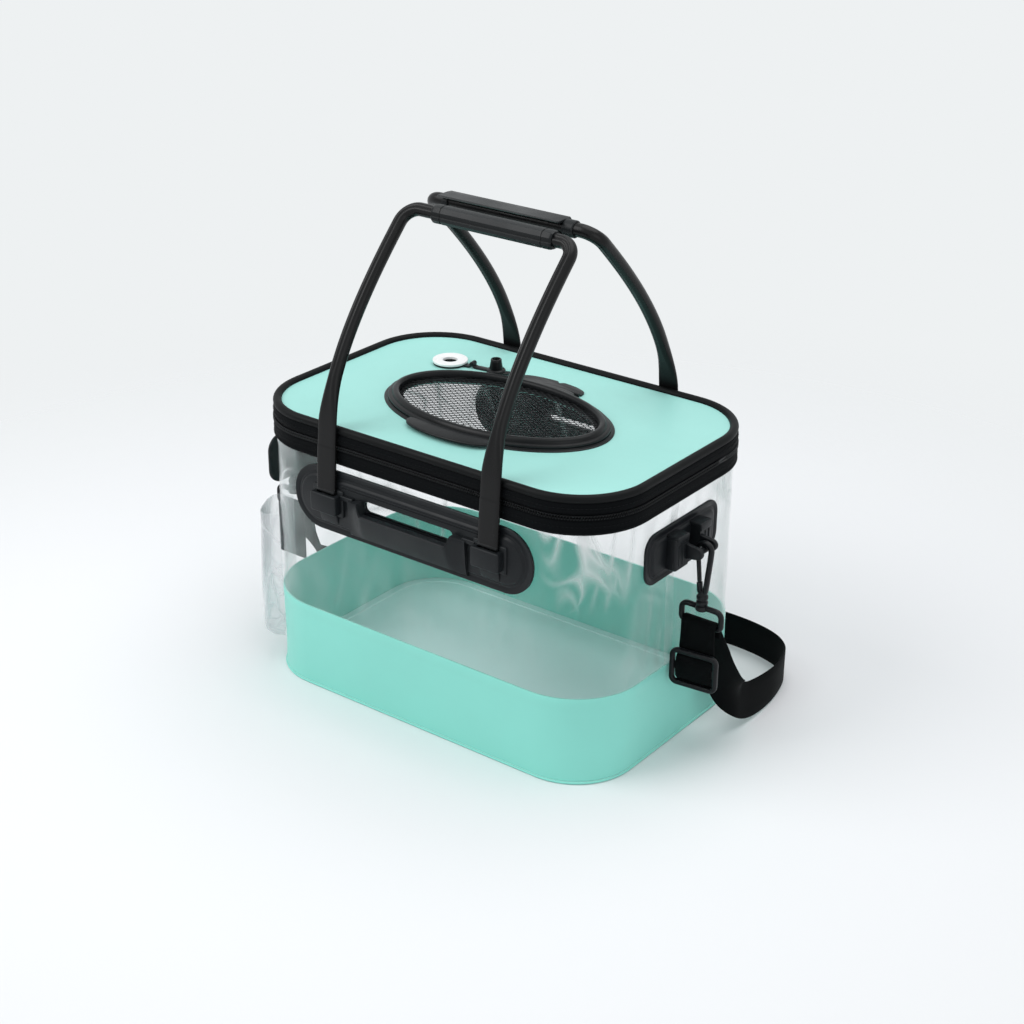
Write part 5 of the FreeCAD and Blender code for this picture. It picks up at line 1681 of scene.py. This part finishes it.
@dataclass
class Studio:
    """Pale floor, soft lamps and the camera."""
    focal_px: float = 1930.6
    azimuth: float = 37.02
    elevation: float = 25.11
    distance: float = 1571.5
    shift_x: float = 8.17
    shift_y: float = -0.41
    roll: float = 0.47
    target_z: float = 150.0
    image_px: float = 1024.0

    def build(self) -> None:
        """Everything round the bucket."""
        self.camera()
        self.floor()
        self.lamps()
        bpy.context.scene.view_settings.view_transform = "Standard"

    def camera(self) -> None:
        """Camera fitted to the lid's, zipper's and foot's outlines."""
        a, e, r = (math.radians(v) for v in (self.azimuth, self.elevation, self.roll))
        back = Vector((math.sin(a) * math.cos(e), -math.cos(a) * math.cos(e), math.sin(e)))
        right = Vector((math.cos(a), math.sin(a), 0))
        up = back.cross(right)
        right, up = right * math.cos(r) + up * math.sin(r), up * math.cos(r) - right * math.sin(r)
        place = mm(0, 0, self.target_z) + (back * self.distance + right * self.shift_x + up * self.shift_y) * MM
        data = bpy.data.cameras.new("camera")
        data.sensor_width = 36.0
        data.sensor_fit = "HORIZONTAL"
        data.lens = self.focal_px * data.sensor_width / self.image_px
        data.clip_end = 50.0
        camera = bpy.data.objects.new("camera", data)
        camera.matrix_world = Matrix((right, up, back)).transposed().to_4x4()
        camera.location = place
        bpy.context.collection.objects.link(camera)
        bpy.context.scene.camera = camera

    def floor(self) -> None:
        """Wide floor that keeps the shadow and melts into the backdrop."""
        Bench.clear()
        bpy.ops.mesh.primitive_plane_add(size=24.0, location=(0, 0, -0.0003))
        floor = bpy.context.object
        floor.name = "studio_floor"
        sheet = NodeSheet("studio_floor")
        material = sheet.finish(Base_Color=srgb(240, 241, 243), Roughness=0.9, Specular_IOR_Level=0.1)
        away = sheet.add("VectorMath", {"0": sheet.place()}, operation="LENGTH").outputs["Value"]
        fade = sheet.add("MapRange", {"Value": away, "From Min": 0.35, "From Max": 1.0}, interpolation_type="SMOOTHSTEP")
        clear = sheet.add("BsdfTransparent")
        mix = sheet.add("MixShader", {"0": fade.outputs["Result"], "1": sheet.surface.outputs[0],
                                      "2": clear.outputs[0]})
        sheet.put(sheet.tree.nodes["Material Output"].inputs["Surface"], mix.outputs[0])
        floor.data.materials.append(material)
        world = bpy.data.worlds.new("studio")
        bpy.context.scene.world = world
        world.use_nodes = True
        nodes, links = world.node_tree.nodes, world.node_tree.links
        path = nodes.new("ShaderNodeLightPath")
        ray = path.outputs["Is Camera Ray"]
        for kind in ("Is Glossy Ray", "Is Transmission Ray"):
            seen = nodes.new("ShaderNodeMath")
            seen.operation = "MAXIMUM"
            links.new(ray, seen.inputs[0])
            links.new(path.outputs[kind], seen.inputs[1])
            ray = seen.outputs[0]
        light = nodes["Background"]
        light.inputs["Color"].default_value = srgb(240, 244, 246)
        light.inputs["Strength"].default_value = 0.55
        seen_back = nodes.new("ShaderNodeBackground")
        seen_back.inputs["Color"].default_value = srgb(238, 241, 242)
        mix = nodes.new("ShaderNodeMixShader")
        links.new(ray, mix.inputs[0])
        links.new(light.outputs[0], mix.inputs[1])
        links.new(seen_back.outputs[0], mix.inputs[2])
        links.new(mix.outputs[0], nodes["World Output"].inputs["Surface"])

    def lamps(self) -> None:
        """Large soft key from the left front, a fill and a rim light."""
        for name, place, size, power in (("key", (-900, -1100, 1500), 1.4, 17.0), ("top", (200, 300, 1700), 1.6, 13.0),
                                         ("fill", (1500, -700, 700), 1.2, 3.0)):
            data = bpy.data.lights.new(name, "AREA")
            data.shape = "DISK"
            data.size = size
            data.energy = power
            lamp = bpy.data.objects.new(name, data)
            lamp.location = mm(*place)
            lamp.rotation_euler = (mm(0, 0, 150) - lamp.location).to_track_quat("-Z", "Y").to_euler()
            bpy.context.collection.objects.link(lamp)


def main() -> None:
    """Builds the bucket piece by piece."""
    logging.basicConfig(level=logging.INFO, format="%(name)s: %(message)s")
    Studio().build()
    ShoulderStrap().build()
    Tub().build()
    ZipBand().build()
    Lid().build()
    GrabPlate().build()
    HookPatch().build()
    HookSet("right", Side.RIGHT, -5.0).build()
    HookSet("left", Side.LEFT, -38.0).build()
    Handle("front", Side.FRONT, -18.0, 395.0).build()
    Handle("rear", Side.REAR, -8.0, 397.0).build()
    Grips().build()


if __name__ == "__main__":
    main()
